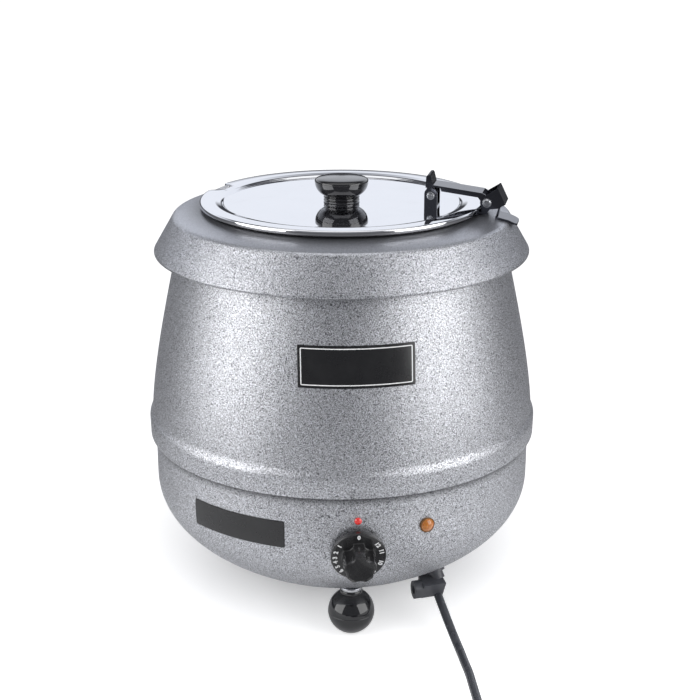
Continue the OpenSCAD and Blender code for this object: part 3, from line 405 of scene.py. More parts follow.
def wire_up(tree, shader, **sockets):
    """Feeds a node's sockets by name, an underscore standing for a space."""
    for key, value in sockets.items():
        feed(tree, shader.inputs[key.replace("_", " ")], value)


def use(tree, made_group, **values):
    """One use of a node group, with its inputs set; returns its outputs."""
    n = tree.nodes.new("ShaderNodeGroup")
    n.node_tree = made_group
    wire_up(tree, n, **values)
    return n.outputs


# ---- effects that several finishes share ---------------------------------------------------


def hammered_group():
    """Hammered paint: small raised cells with dark channels worming between them, over slow clouds of tone.

    The height is a coarse and a fine noise, less the distance to the nearest cell's middle, all read at a
    place that a slower noise pushes about. The tone follows the height, and the dips are the duller.
    """
    tree, given = group(
        "hammered_paint",
        [("Cell", 1450.0), ("Dark", (0.2, 0.2, 0.21)), ("Bright", (0.6, 0.6, 0.62)), ("Clouds", 0.12)],
        [("Color", "Color"), ("Height", "Float"), ("Roughness", "Float")],
    )
    push_scale, push_reach, fine_ratio, cloud_scale = 240.0, 0.004, 2.3, 22.0
    coarse_share, fine_share, cell_share = 0.7, 0.3, 0.16
    darkest, brightest = 0.34, 0.49

    where = place_of(tree)
    warp = put(tree, "TexNoise", {"Vector": where, "Scale": push_scale, "Detail": 1.0}).outputs["Color"]
    push = put(tree, "VectorMath", {0: warp, 1: (0.5, 0.5, 0.5)}, operation="SUBTRACT").outputs[0]
    push = put(tree, "VectorMath", {0: push, "Scale": push_reach}, operation="SCALE").outputs[0]
    bent = put(tree, "VectorMath", {0: where, 1: push}, operation="ADD").outputs[0]
    grain = noise(tree, bent, given["Cell"], 1.5, 0.55)
    fine = noise(tree, bent, times(tree, given["Cell"], fine_ratio), 1.0)
    cell = {"Vector": bent, "Scale": given["Cell"], "Randomness": 0.9}
    cells = put(tree, "TexVoronoi", cell, feature="SMOOTH_F1").outputs["Distance"]
    height = plus(tree, times(tree, grain, coarse_share), times(tree, fine, fine_share))
    height = minus(tree, height, times(tree, cells, cell_share))

    cloud = times(tree, minus(tree, noise(tree, where, cloud_scale), 0.5), given["Clouds"])
    tone = math(tree, "ADD", span(tree, height, darkest, brightest), cloud, clamp=True)
    colour = blend(tree, tone, given["Dark"], given["Bright"])
    group_out(tree, Color=colour, Height=height, Roughness=span(tree, height, 0.3, 0.6, 0.44, 0.36))
    return tree


def brushed_group():
    """Brushed metal: fine scratches that run round the axis, and a few smudges that are a little duller."""
    tree, given = group(
        "turned_brushing",
        [("Fineness", 900.0), ("Rough", 0.25), ("Spread", 0.08)],
        [("Streak", "Float"), ("Roughness", "Float"), ("Smudge", "Float")],
    )
    smudge_scale, smudge_dulling = 28.0, 0.05

    where = place_of(tree)
    split = put(tree, "SeparateXYZ", {0: where}).outputs
    along = put(tree, "CombineXYZ", {0: axis_distance(tree, split), 1: split[2]}).outputs[0]
    streak = noise(tree, along, given["Fineness"], 3.0, 0.7)
    smudge = noise(tree, where, smudge_scale, 3.0, 0.6)
    rough = plus(tree, given["Rough"], times(tree, minus(tree, streak, 0.5), given["Spread"]))
    rough = plus(tree, rough, span(tree, smudge, 0.55, 0.75, 0.0, smudge_dulling))
    group_out(tree, Streak=streak, Roughness=rough, Smudge=smudge)
    return tree


def moulding_group():
    """Moulded plastic: a very fine pebble, slow ripples from the mould and faint rubbed patches."""
    tree, given = group(
        "moulded_skin",
        [("Pebble", 1800.0), ("Rough", 0.3), ("Rub", 0.06)],
        [("Height", "Float"), ("Roughness", "Float"), ("Wear", "Float")],
    )
    ripple_scale, rub_scale = 60.0, 45.0
    pebble_share, ripple_share = 0.6, 0.4

    where = place_of(tree)
    pebble = noise(tree, where, given["Pebble"], 2.0, 0.6)
    ripple = noise(tree, where, ripple_scale, 1.0)
    rub = noise(tree, where, rub_scale, 4.0, 0.65)
    height = plus(tree, times(tree, pebble, pebble_share), times(tree, ripple, ripple_share))
    rough = plus(tree, given["Rough"], times(tree, span(tree, rub, 0.4, 0.7), given["Rub"]))
    group_out(tree, Height=height, Roughness=rough, Wear=span(tree, rub, 0.5, 0.75))
    return tree


HAMMERED = hammered_group()
BRUSHED = brushed_group()
MOULDED = moulding_group()

# ---- finishes ------------------------------------------------------------------------------

HAMMER_BUMP = 0.46
FLOWED_PAINT = (0.6, 0.615, 0.67)
# The colour of the painted shade that darkens the hammered paint in its recesses
PAINTED_RECESS_SHADE = (0.012, 0.012, 0.014)
# How far below and above its edge, in metres, the paint goes from grain to smooth
FLOW_BELOW, FLOW_ABOVE = 0.0014, 0.0008
# How far, in metres, a recess's painted shade runs past the edge that it starts at
SHADE_EDGE = 0.0006


def new_finish(name):
    """A material with a clean Principled shader; returns the material, its tree and the shader."""
    made = bpy.data.materials.new(name)
    made.use_nodes = True
    tree = made.node_tree
    return made, tree, tree.nodes["Principled BSDF"]


def bumped(tree, height, strength, distance_mm):
    """A Bump node's normal for a height field."""
    sockets = {"Height": height, "Strength": strength, "Distance": distance_mm * MM}
    return put(tree, "Bump", sockets).outputs["Normal"]


def hammered_finish(name, dark, bright, recesses, smooth_above=None):
    """Hammered paint, darker in its recesses and flowed out smooth above a height.

    A recess is (axis, at, reach, depth): there the colour gets painted shade, deepest at `at` and fading out
    over `reach`.
    """
    made, tree, shader = new_finish(name)
    paint = use(tree, HAMMERED, Dark=dark, Bright=bright)
    colour, height, rough = paint["Color"], paint["Height"], paint["Roughness"]
    split = put(tree, "SeparateXYZ", {0: place_of(tree)}).outputs
    if smooth_above:
        flowed = span(tree, split[2], smooth_above - FLOW_BELOW, smooth_above + FLOW_ABOVE)
        colour = blend(tree, times(tree, flowed, 0.65), colour, FLOWED_PAINT)
        height = times(tree, height, minus(tree, 1.0, times(tree, flowed, 0.75)))
        rough = minus(tree, rough, times(tree, flowed, 0.08))
    where = {"height": split[2], "radius": axis_distance(tree, split)}
    # Painted shade: each recess darkens the colour towards this painted shade colour
    for axis, at, reach, depth in recesses:
        near = math(tree, "POWER", span(tree, where[axis], at + reach, at), 1.2)
        here = span(tree, where[axis], at - np.sign(reach) * SHADE_EDGE, at)
        shade = times(tree, times(tree, near, here), depth)
        colour = blend(tree, shade, colour, PAINTED_RECESS_SHADE)
    normal = bumped(tree, height, HAMMER_BUMP, 0.5)
    wire_up(tree, shader, Base_Color=colour, Roughness=rough, Metallic=0.85, Normal=normal)
    return made


def metal_finish(name, colour, rough, spread=0.08, fineness=900.0, stain=0.06, bump=0.02):
    """Brushed metal: `spread` is how far scratches change its roughness, `stain` how dark smudges are."""
    made, tree, shader = new_finish(name)
    metal = use(tree, BRUSHED, Fineness=fineness, Rough=rough, Spread=spread)
    darker = tuple(c * (1 - stain) for c in colour)
    tone = blend(tree, span(tree, metal["Smudge"], 0.35, 0.7), colour, darker)
    wire_up(tree, shader, Base_Color=tone, Roughness=metal["Roughness"], Metallic=1.0)
    if bump:
        wire_up(tree, shader, Normal=bumped(tree, metal["Streak"], bump, 0.05))
    return made


def plastic_finish(name, colour, rough, rub=0.06, pebble=1800.0, bump=0.08, coat=0.0):
    """Moulded plastic, enamel or rubber, a little paler where it is rubbed."""
    made, tree, shader = new_finish(name)
    skin = use(tree, MOULDED, Pebble=pebble, Rough=rough, Rub=rub)
    worn = tuple(min(1.0, c * 1.25 + 0.004) for c in colour)
    wire_up(
        tree, shader, Base_Color=blend(tree, skin["Wear"], colour, worn), Roughness=skin["Roughness"],
        Normal=bumped(tree, skin["Height"], bump, 0.1), Coat_Weight=coat, Coat_Roughness=0.05,
    )
    return made


def lens_finish(name, colour, glow, glow_strength):
    """A tinted lamp cap: a clear coat over a glowing colour that is deeper in patches."""
    made, tree, shader = new_finish(name)
    skin = use(tree, MOULDED, Pebble=700.0, Rough=0.12, Rub=0.05)
    deep = tuple(c * 0.45 for c in colour)
    tone = blend(tree, span(tree, skin["Height"], 0.35, 0.65), colour, deep)
    wire_up(
        tree, shader, Base_Color=tone, Roughness=skin["Roughness"], Coat_Weight=1.0, Coat_Roughness=0.03,
        Emission_Color=glow, Emission_Strength=glow_strength, Subsurface_Weight=0.2, Subsurface_Scale=0.002,
    )
    return made


# The shell gets painted shade below its band and below the collar's skirt, the collar painted shade beside
# the lid
SHELL = hammered_finish(
    "hammered_silver_paint", (0.085, 0.086, 0.094), (0.83, 0.84, 0.88),
    (("height", BAND_Z * MM, -0.009, 1.0), ("height", (CORNER_Z - SKIRT_H) * MM, -0.008, 0.6)),
)
COLLAR = hammered_finish(
    "hammered_collar_paint", (0.065, 0.066, 0.073), (0.72, 0.73, 0.77),
    (("radius", 0.115, 0.023, 0.9),), CORNER_Z * MM,
)
UNDER = metal_finish(
    "zinc_underside", (0.42, 0.43, 0.45), 0.42, spread=0.1, fineness=500.0, stain=0.15,
)
STAINLESS = metal_finish(
    "brushed_stainless", (0.62, 0.62, 0.63), 0.27, spread=0.12, fineness=1400.0, stain=0.08, bump=0.05,
)
MIRROR = metal_finish(
    "mirror_steel", (0.86, 0.87, 0.9), 0.035, spread=0.015, fineness=2000.0, stain=0.02, bump=0.0,
)
HINGE = metal_finish("polished_hinge_steel", (0.12, 0.125, 0.145), 0.1, spread=0.05, bump=0.01)
PLATED = metal_finish("plated_steel", (0.6, 0.61, 0.63), 0.22, fineness=1100.0, stain=0.08)
ELEMENT = metal_finish("heat_tinted_steel", (0.3, 0.25, 0.21), 0.38, spread=0.14, fineness=700.0, stain=0.3)
COPPER = metal_finish("copper_tube", (0.62, 0.32, 0.18), 0.25, spread=0.1, fineness=1000.0, stain=0.15)
BRASS = metal_finish("brass_fittings", (0.72, 0.52, 0.22), 0.26, spread=0.1, fineness=1000.0, stain=0.12)
KNOB = plastic_finish(
    "gloss_black_plastic", (0.01, 0.01, 0.0115), 0.09, rub=0.05, pebble=900.0, bump=0.01, coat=0.6,
)
DIAL = plastic_finish(
    "dial_black_plastic", (0.018, 0.0177, 0.0185), 0.2, rub=0.1, pebble=1500.0, bump=0.012, coat=0.5,
)
THERMOSTAT = plastic_finish("phenolic_case", (0.045, 0.04, 0.036), 0.45)
CERAMIC = plastic_finish("ceramic_block", (0.7, 0.67, 0.6), 0.4)
GLAND = plastic_finish("gland_plastic", (0.065, 0.067, 0.076), 0.3, rub=0.1, pebble=1300.0, bump=0.12)
CORD = plastic_finish(
    "cord_rubber", (0.04, 0.042, 0.05), 0.24, rub=0.08, pebble=2200.0, bump=0.1, coat=0.5,
)
WIRES = plastic_finish("silicone_wire", (0.22, 0.03, 0.02), 0.4)
PLATE = plastic_finish(
    "black_plate_enamel", (0.008, 0.008, 0.009), 0.26, rub=0.08, pebble=800.0, bump=0.02, coat=0.3,
)
INK = plastic_finish("white_print", (0.93, 0.93, 0.92), 0.45, rub=0.05, pebble=1500.0, bump=0.02)
LAMP_WHITE = plastic_finish("lamp_housing", (0.66, 0.64, 0.6), 0.4)
LAMP_DARK = plastic_finish("lamp_bezel", (0.03, 0.024, 0.02), 0.32)
RED_LENS = lens_finish("red_lens", (0.8, 0.03, 0.03), (1.0, 0.08, 0.06), 0.22)
PILOT_RIM = plastic_finish("amber_rim", (0.16, 0.07, 0.015), 0.2)
AMBER_LENS = lens_finish("amber_lens", (0.62, 0.2, 0.03), (1.0, 0.4, 0.05), 0.08)

# ---- camera --------------------------------------------------------------------------------

LENS_MM, SENSOR_MM, SIGHT_LIMIT = 74.16, 36, 60
EYE_AT = (-0.0932, -1.2114, 0.6316)
# Degrees: how far the camera is raised from looking straight down, and turned anticlockwise from above
EYE_TILT, EYE_TURN = 71.46, -4.74


def place_camera():
    """The camera at the distance, height and angle that the main view is taken from."""
    eye = bpy.data.cameras.new("camera")
    eye.lens = LENS_MM
    eye.sensor_width = SENSOR_MM
    eye.clip_end = SIGHT_LIMIT
    camera = linked("camera", eye)
    camera.location = EYE_AT
    camera.rotation_euler = (np.radians(EYE_TILT), 0, np.radians(EYE_TURN))
    bpy.context.scene.camera = camera


place_camera()

# ---- cord ----------------------------------------------------------------------------------

CORD_ROUTE = [
    (77, -92, 26.5), (80, -105, 19.4), (83, -118, 12.6), (86, -133, 6.6), (88, -150, 4.2),
    (89, -168, 3.9), (90, -186, 3.9), (90, -205, 3.9), (90, -224, 3.9), (90, -243, 3.9),
    (90, -262, 3.9), (89.8, -277.4, 3.9),
]
TAIL_ROUTE = [
    (13.5, -353.8, 11.3), (-4, -353.8, 11.0), (-22, -353.6, 10.9), (-38, -353.4, 11.2),
    (-52, -353.2, 11.9), (-62, -353, 12.5), (-72, -353, 12.6),
]
COIL_AT = (37.5, -301.5)
COIL_LOW, COIL_HIGH = 3.9, 11.5
# Angles in degrees along the coil: its whole sweep and the step between two of its points; where the cord
# crosses from each radius to the next, and over how far; where it climbs to the upper layer, and over how far
COIL_SWEEP, COIL_STEP = 1890, 7.5
COIL_RADII, COIL_CROSSINGS, CROSSING = (52.25, 44.5, 36.75, 44.5, 52.25), (300, 660, 1260, 1620), 60
CLIMB_AT, CLIMB = 955, 65


def through(points, per_span=6):
    """A Catmull-Rom curve through the points, with per_span points on each span."""
    p = np.asarray(points, float)
    p = np.vstack([2 * p[0] - p[1], p, 2 * p[-1] - p[-2]])
    t = np.arange(per_span)[:, None] / per_span
    a, b, c, d = p[:-3, None], p[1:-2, None], p[2:-1, None], p[3:, None]
    spans = 0.5 * (
        2 * b + (c - a) * t + (2 * a - 5 * b + 4 * c - d) * t ** 2 + (3 * b - a - 3 * c + d) * t ** 3
    )
    return np.vstack([spans.reshape(-1, 3), p[-2]])


def coil_path():
    """Clockwise turns by the angle s, in two layers.

    The radius steps in over each early crossing, then the cord climbs and steps back out on top.
    """
    s = np.arange(0, COIL_SWEEP + COIL_STEP, COIL_STEP)
    r = np.full(s.shape, COIL_RADII[0])
    for before, after, at in zip(COIL_RADII, COIL_RADII[1:], COIL_CROSSINGS):
        r += (after - before) * smooth_step((s - at) / CROSSING)
    z = COIL_LOW + (COIL_HIGH - COIL_LOW) * smooth_step((s - CLIMB_AT) / CLIMB)
    return polar(r, z, np.radians(-s)) + [*COIL_AT, 0]


def cord_path():
    """The whole cord's centreline: from the gland to the floor, into the coil and out of it to the plug."""
    return np.vstack([through(CORD_ROUTE), coil_path(), through(TAIL_ROUTE)])


def cord_curve():
    """The cord as a round curve on its centreline."""
    path = cord_path() * MM
    data = bpy.data.curves.new("mains_lead", "CURVE")
    data.dimensions = "3D"
    data.bevel_depth = CORD_R * MM
    data.bevel_resolution = 5
    data.use_fill_caps = True
    spline = data.splines.new("POLY")
    spline.points.add(len(path) - 1)
    spline.points.foreach_set("co", np.column_stack([path, np.ones(len(path))]).ravel())
    spline.use_smooth = True
    made = linked("mains_lead", data)
    settle(made, "kettle", ("mains_cord", "cord_coil", "cord_tail"), CORD)
    return made


lead = cord_curve()

# The tie's direction from the coil's middle, its half sizes, its inside as a share of its outside, and
# the power that squares its corners
TIE_ANGLE = 205.0
TIE_HALF_LENGTH, TIE_HALF_HEIGHT, TIE_HALF_WIDTH = 11.95, 7.45, 2.3
TIE_INSIDE, TIE_POWER = 0.95, 2 / 3.2


def coil_tie():
    """A flat tie round the strands of the coil: a superellipse's outline carried by a narrow band."""
    a = np.radians(TIE_ANGLE)
    out = np.array([np.cos(a), np.sin(a), 0.0])
    along = np.array([-np.sin(a), np.cos(a), 0.0])
    middle = np.array([*COIL_AT, (COIL_LOW + COIL_HIGH) / 2]) + COIL_RADII[1] * out
    t = np.linspace(0, 2 * np.pi, 96, endpoint=False)
    x = squared(np.cos(t), TIE_POWER) * TIE_HALF_LENGTH
    z = squared(np.sin(t), TIE_POWER) * TIE_HALF_HEIGHT
    rim = np.outer(x, out) + np.outer(z, [0, 0, 1])
    w = TIE_HALF_WIDTH * along
    rows = [rim - w, rim + w, rim * TIE_INSIDE + w, rim * TIE_INSIDE - w]
    return surface(middle + np.array(rows), along=True)


SLEEVE_AT, SLEEVE_LENGTH = np.array([-72.0, -353.0, 12.6]), 30
SLEEVE_STEP, SLEEVE_GROWTH = 0.6, 2.7
GROOVES, GROOVE_DEPTH, GROOVE_WIDTH = (0.2, 0.38, 0.56, 0.74), 0.55, 0.035
PLUG_AT, PLUG_LENGTH = np.array([-102.0, -353.0, 12.6]), 38.0
# Half sizes at the face, how much of each the neck has, and how deep the waist is there
PLUG_WIDTH, PLUG_NECK_WIDTH, WAIST_WIDTH = 14.0, 0.62, 1.1
PLUG_HEIGHT, PLUG_NECK_HEIGHT, WAIST_HEIGHT = 12.5, 0.6, 0.9
PLUG_POWER = 0.62


def plug_sleeve():
    """The tapered strain relief: a tube along -X whose radius grows, with four grooves cut round it."""
    t = np.linspace(0, 1, 61)
    grooves = sum(hump(t, at, GROOVE_WIDTH) for at in GROOVES)
    radius = CORD_R + SLEEVE_STEP + SLEEVE_GROWTH * t - GROOVE_DEPTH * grooves
    a = -np.linspace(0, 2 * np.pi, 40, endpoint=False)
    # Closed at both ends by a ring of radius 0
    radius, t = np.pad(radius, 1)[:, None], np.pad(t, 1, mode="edge")[:, None]
    along = -SLEEVE_LENGTH * t + 0 * a
    return surface(SLEEVE_AT + np.stack([along, radius * np.cos(a), radius * np.sin(a)], -1))


def plug_shell():
    """The plug's body: a superellipse that grows from the sleeve to the face, with a waist for the grip."""
    t = np.linspace(0, 1, 40)
    swell = smooth_step(t / 0.55)
    waist = hump(t, 0.62, 0.16)
    edge = 1 - 0.06 * smooth_step((t - 0.95) / 0.05)
    width = PLUG_WIDTH * (PLUG_NECK_WIDTH + (1 - PLUG_NECK_WIDTH) * swell) - WAIST_WIDTH * waist
    height = PLUG_HEIGHT * (PLUG_NECK_HEIGHT + (1 - PLUG_NECK_HEIGHT) * swell) - WAIST_HEIGHT * waist
    a = np.linspace(0, 2 * np.pi, 64, endpoint=False)
    across = (width * edge)[:, None] * squared(np.cos(a), PLUG_POWER)
    up = (height * edge)[:, None] * squared(np.sin(a), PLUG_POWER)
    grid = PLUG_AT + np.stack([-PLUG_LENGTH * t[:, None] + 0 * a, -across, up], -1)
    ends = [np.repeat(grid[k].mean(0)[None, None], len(a), 1) for k in (0, -1)]
    return surface(np.concatenate([ends[0], grid, ends[1]]))


piece("coil_tie", *coil_tie(), "kettle", finish=CORD, slot="cord_rubber")
sleeve = piece("plug_sleeve", *plug_sleeve(), "kettle", ("cord_sleeve",), CORD, "cord_rubber", 50)
plug = piece("plug_shell", *plug_shell(), "kettle", ("plug_body",), CORD, "cord_rubber", 50)
blades = dressed("plug_pins", "kettle", BRASS, 0.2)

# ---- shells --------------------------------------------------------------------------------

# The gap between the bowl's lip and the band round it
LIP_GAP = 0.3
# A profile starts this near the axis while it gets its thickness, then moves onto it
HUB = 0.001


def bowl_line():
    """The bowl's outside: the bottom's ring, the curved wall, and a lip that steps out inside the band."""
    lip = BAND_R - SHEET - LIP_GAP
    top = BAND_Z + BAND_H - 3.5
    rise = [[BOWL_R, top - 9], [lip, top - 5.5], [lip, top]]
    return line([ACCESS_R, BASE_Z], bezier(bowl_curve(), 72), rise)


def barrel_line():
    """The upper shell's outside: the band's rounded lower edge, its step inwards, and the barrel's wall."""
    band_top = BAND_Z + BAND_H
    step = [
        [BAND_R, band_top], [BAND_R, band_top + 4.5],
        [BARREL_LOW_R + 0.35, BARREL_LOW_Z - 4.5], [BARREL_LOW_R, BARREL_LOW_Z],
    ]
    edge = [[BAND_R - 0.9, BAND_Z], [BAND_R - 0.3, BAND_Z + 1.2]]
    return line(edge, bezier(step, 24), bezier(barrel_curve(), 96)[1:])


def collar_line():
    """The collar's outside: hem, flared skirt, rounded corner, sloping shoulder and the neck in the mouth."""
    slope = np.degrees(SHOULDER_SLOPE)
    k = np.arctan2(SKIRT_H, SKIRT_R - CORNER_R)
    skirt = np.degrees(k)
    reach = CORNER_ROUND * np.tan(np.radians(skirt - slope) / 2)
    start = np.array([CORNER_R + reach * np.cos(k), CORNER_Z - reach * np.sin(k)])
    centre = start - CORNER_ROUND * np.array([np.sin(k), np.cos(k)])
    neck = MOUTH_R + SHEET
    return line(
        arc([SKIRT_R - HEM_ROUND, CORNER_Z - SKIRT_H + HEM_ROUND * 0.4], HEM_ROUND, -60, 90 - skirt),
        arc(centre, CORNER_ROUND, 90 - skirt, 90 - slope, 14),
        [[neck + 1.5, MOUTH_Z], [neck, MOUTH_Z]],
        arc([MOUTH_R + 1, MOUTH_Z - 1], 1, 90, 180, 6),
        [MOUTH_R, MOUTH_Z - 9],
    )


def on_axis(profile):
    """The profile with both of its ends moved onto the axis."""
    profile[0, 0] = profile[-1, 0] = 0.0
    return profile


def foot_arc(r, z, round_r, n):
    """The rounded foot of a wall at radius r that stands on the height z."""
    return arc([r - round_r, z + round_r], round_r, -90, 0, n)


def pot_profile():
    """The lift-out pot: a wall with a rounded foot and a bead at its rim, one outline from axis to axis."""
    outer = line([HUB, POT_BOTTOM], foot_arc(POT_R, POT_BOTTOM, POT_ROUND, 14), [POT_R, RIM_Z + 1])
    b = BEAD_ROUND
    rim = line(
        arc([RIM_R - b, RIM_Z + b], b, -90, 0, 7),
        arc([RIM_R - b, RIM_TOP - b], b, 0, 90, 7),
        arc([POT_R - POT_SHEET + b, RIM_TOP - b], b, 90, 180, 7),
    )
    return on_axis(line(outer, rim, beside(outer, POT_SHEET)[::-1]))


def pan_profile():
    """The water pan: a wall with a rounded foot, and a lip that lies on the barrel and turns up."""
    lip, under = BARREL_TOP_R + 2.4, BARREL_TOP_Z + 0.1
    shoulder_z = CORNER_Z + (CORNER_R - lip) * np.tan(SHOULDER_SLOPE)
    top = shoulder_z - SHEET / np.cos(SHOULDER_SLOPE) - 0.2
    outer = line(
        [HUB, PAN_BOTTOM], foot_arc(PAN_R, PAN_BOTTOM, PAN_ROUND, 10),
        [[PAN_R, under - 1.5], [PAN_R + 1.5, under], [lip - 0.8, under], [lip, under + 0.8], [lip, top]],
    )
    return on_axis(line(outer, beside(outer, PAN_SHEET)[::-1]))


for name, outside, node, finish in (
    ("bowl_skin", bowl_line(), "lower_bowl", SHELL), ("barrel_skin", barrel_line(), "upper_shell", SHELL),
    ("collar_skin", collar_line(), "collar", COLLAR),
):
    turned(
        name, sheet_profile(outside, SHEET), "kettle", closed=True, steps=384,
        stands_for=(node,), finish=finish, slot="hammertone",
    )
turned("pot_wall", pot_profile(), "pot", stands_for=("inner_pot",), finish=STAINLESS, slot="stainless")
turned("pan_wall", pan_profile(), "kettle", stands_for=("water_pan",), finish=STAINLESS, slot="stainless")

# ---- lid -----------------------------------------------------------------------------------

# The ladle notch: its direction, width and depth, how far inside its half width its side starts to fall
# and over how far, and the stretch to each side of it that gets closer columns
NOTCH_ANGLE, NOTCH_W, NOTCH_D = 153.0, 26.0, 12.0
NOTCH_INSET, NOTCH_FALL, NOTCH_STRETCH = 4.0, 7.5, 11
# The rolled lip: its rounding, how far it hangs down away from the notch, how much less at the notch's
# sides, and how much of that it has back at the notch's root
LIP_ROUND, LIP_H, LIP_DROP, LIP_RETURN = 1.6, 3.6, 2.8, 1.3
# The share of the rim's width that the notch's root pushes the rim's rings in by
RIM_PRESS = 0.34


def notch_share(angles):
    """How deep the ladle notch is at each angle, 0 to 1: full across its root, falling to its mouth."""
    off = (np.degrees(angles) - NOTCH_ANGLE + 180) % 360 - 180
    y = np.abs(LID_R * np.sin(np.radians(off)))
    # The far side of the lid has no notch
    y = np.where(np.abs(off) > 60, LID_R, y)
    return 1 - smooth_step((y - (NOTCH_W / 2 - NOTCH_INSET)) / NOTCH_FALL)


def lid_grid():
    """The lid on a polar grid: flat middle, smooth step, flat rim and a rolled lip.

    The lip's radius follows the notch, and it hangs less far down at the notch's sides.
    """
    first, last = NOTCH_ANGLE - NOTCH_STRETCH, NOTCH_ANGLE + NOTCH_STRETCH
    close, rest = np.linspace(first, last, 120), np.linspace(last, first + 360, 300)[1:-1]
    a = np.radians(np.concatenate([close, rest]))
    share = notch_share(a)
    edge_r = LID_R - NOTCH_D * share
    mouth, root = smooth_step((share - 0.08) / 0.08), smooth_step((share - 0.74) / 0.16)
    lip = LIP_H - LIP_DROP * mouth + LIP_RETURN * root
    roll = arc([0, 0], 1.0, 90, 0)
    t = LID_SHEET

    step_end = [SUNK_R + 1.6, LID_TOP - 1.05]
    step = [[SUNK_R - 2.2, SUNK_Z], [SUNK_R - 0.4, SUNK_Z], [SUNK_R - 0.6, LID_TOP - 1.5], step_end]
    rise = [step_end, [SUNK_R + 5.6, LID_TOP - 0.24], [SUNK_R + 6, LID_TOP], [SUNK_R + 7.6, LID_TOP]]
    middle = [[SUNK_R * k, SUNK_Z] for k in (0.1, 0.3, 0.5, 0.7, 0.9)]
    inside = line(middle, bezier(step, 20), bezier(rise, 12)[1:])
    under = beside(np.vstack([[0.0, SUNK_Z], inside]), -t)[1:]

    def pressed(profile):
        return [polar(r - max(r - SUNK_R, 0.0) * RIM_PRESS * share, z, a) for r, z in profile]

    def rolled(r):
        return [polar(edge_r - LIP_ROUND + r * x, LID_TOP - LIP_ROUND + r * y, a) for x, y in roll]

    rows = [polar(0, SUNK_Z - t, a), *pressed(under), *rolled(LIP_ROUND - t)]
    rows += [polar(edge_r - t, LID_TOP - lip, a), polar(edge_r, LID_TOP - lip, a)]
    rows += [*rolled(LIP_ROUND)[::-1], *pressed(inside[::-1]), polar(0, SUNK_Z, a)]
    return np.array(rows)


piece("lid_disc", *surface(lid_grid()), "lid", ("lid",), MIRROR, "mirror_steel", 40)

KNOB_BASE_R, KNOB_R, KNOB_H = 15.4, 23, 22


def knob_profile():
    """The knob: a base with two grooves round it, a flaring side and a low crown."""
    n = KNOB_BASE_R
    low = [
        [0, 0], [n - 0.3, 0], [n, 0.3], [n, 1.7], [n - 0.8, 2.2], [n - 1.0, 2.6], [n - 0.8, 3.0], [n, 3.5],
        [n, 4.3], [n - 0.8, 4.8], [n - 1.0, 5.2], [n - 0.8, 5.6], [n - 0.1, 5.95],
    ]
    side = bezier([[n, 6], [20.4, 8], [KNOB_R, 13], [KNOB_R, 17.8]], 24)
    crown = bezier([[KNOB_R, 17.8], [KNOB_R, 20.6], [20, 21.3], [0, KNOB_H]], 30)
    return line(low, side, crown[1:]) + [0, SUNK_Z]


turned(
    "knob", knob_profile(), "lid", steps=192, stands_for=("lid_knob",),
    finish=KNOB, slot="knob_black", sharp=50,
)

# ---- feet ----------------------------------------------------------------------------------

FOOT_R, FLAT_R, FERRULE_R, STUD_BORE = 20.2, 3.5, 9.4, 3.1
FOOT_RING_R = 100.0
FOOT_MID = np.sqrt(FOOT_R ** 2 - FLAT_R ** 2)
BALL_TOP = FOOT_MID + np.sqrt(FOOT_R ** 2 - FERRULE_R ** 2)
# The parting line: how high it stands, and the shallow dip to each side of it
SEAM_H, SEAM_DIP = 0.09, 0.05


def ball_profile():
    """A ball with a small flat below, a short neck inside its ferrule above, and a parting line."""
    low = -np.degrees(np.arccos(FLAT_R / FOOT_R))
    high = np.degrees(np.arccos(FERRULE_R / FOOT_R))
    a = np.unique(np.concatenate([np.linspace(low, high, 60), np.linspace(-3, 3, 25)]))
    r = FOOT_R - SEAM_H + SEAM_H * hump(a, 0, 0.45) - SEAM_DIP * hump(np.abs(a), 1.3, 0.6)
    k = np.radians(a)
    ball = np.stack([r * np.cos(k), FOOT_MID + r * np.sin(k)], 1)
    f, top = FERRULE_R, BALL_TOP + 3.3
    neck = [[f + 0.2, BALL_TOP], [f + 0.2, top - 0.3], [f - 0.1, top], [0, top]]
    return line([0, 0], ball, neck)


def ferrule_profile():
    """A ferrule between ball and bowl, narrow below and wide above, as a closed ring round the stud."""
    h = BASE_Z - BALL_TOP
    f = FERRULE_R
    return line(
        [[STUD_BORE, 0], [f - 1.6, 0], [f - 1.6, h * 0.35]],
        bezier([[f - 1.6, h * 0.35], [f - 0.9, h * 0.42], [f, h * 0.5], [f, h * 0.65]], 8)[1:],
        [f, h * 0.85],
        bezier([[f, h * 0.85], [f, h * 0.95], [f - 0.3, h], [f - 0.7, h]], 6)[1:],
        [STUD_BORE, h],
    )


ferrules = []
for name, angle in (("foot_front", 270), ("foot_rear_right", 30), ("foot_rear_left", 150)):
    stand = rotation("Z", angle) @ Matrix.Translation((FOOT_RING_R, 0, 0))
    turned(
        name + "_ball", ball_profile(), "kettle", place=stand, steps=160, stands_for=(name,),
        finish=KNOB, slot="knob_black", sharp=50,
    )
    points, faces = surface(turned_grid(ferrule_profile(), 96), along=True)
    ferrules.append((moved(points, stand @ Matrix.Translation((0, 0, BALL_TOP))), faces))
piece("foot_ferrule_rings", *joined(ferrules), "kettle", ("foot_ferrules",), PLATED, "plated_steel")

# ---- dial and lamps ------------------------------------------------------------------------

DIAL_FRAME = on_bowl(FRONT, DIAL_Z)
GRIP_R, GRIP_H, DISC_LOW, DISC_TOP = 13.4, 17.0, 0.8, 5.8
# Hollows in the grip: how far out each one's centre lies, and its radius
DEEP, SHALLOW = (GRIP_R + 2.4, 5.8), (GRIP_R + 8.5, 10)
HOLLOWS = ((141, DEEP), (219, DEEP), (-72, SHALLOW), (0, SHALLOW), (72, SHALLOW))
# Roundings of the disc's lower and upper edge, the fillet at the grip's foot and the grip's top edge
LOW_ROUND, RIM_ROUND, FILLET, TOP_ROUND = 0.3, 0.9, 0.8, 0.7
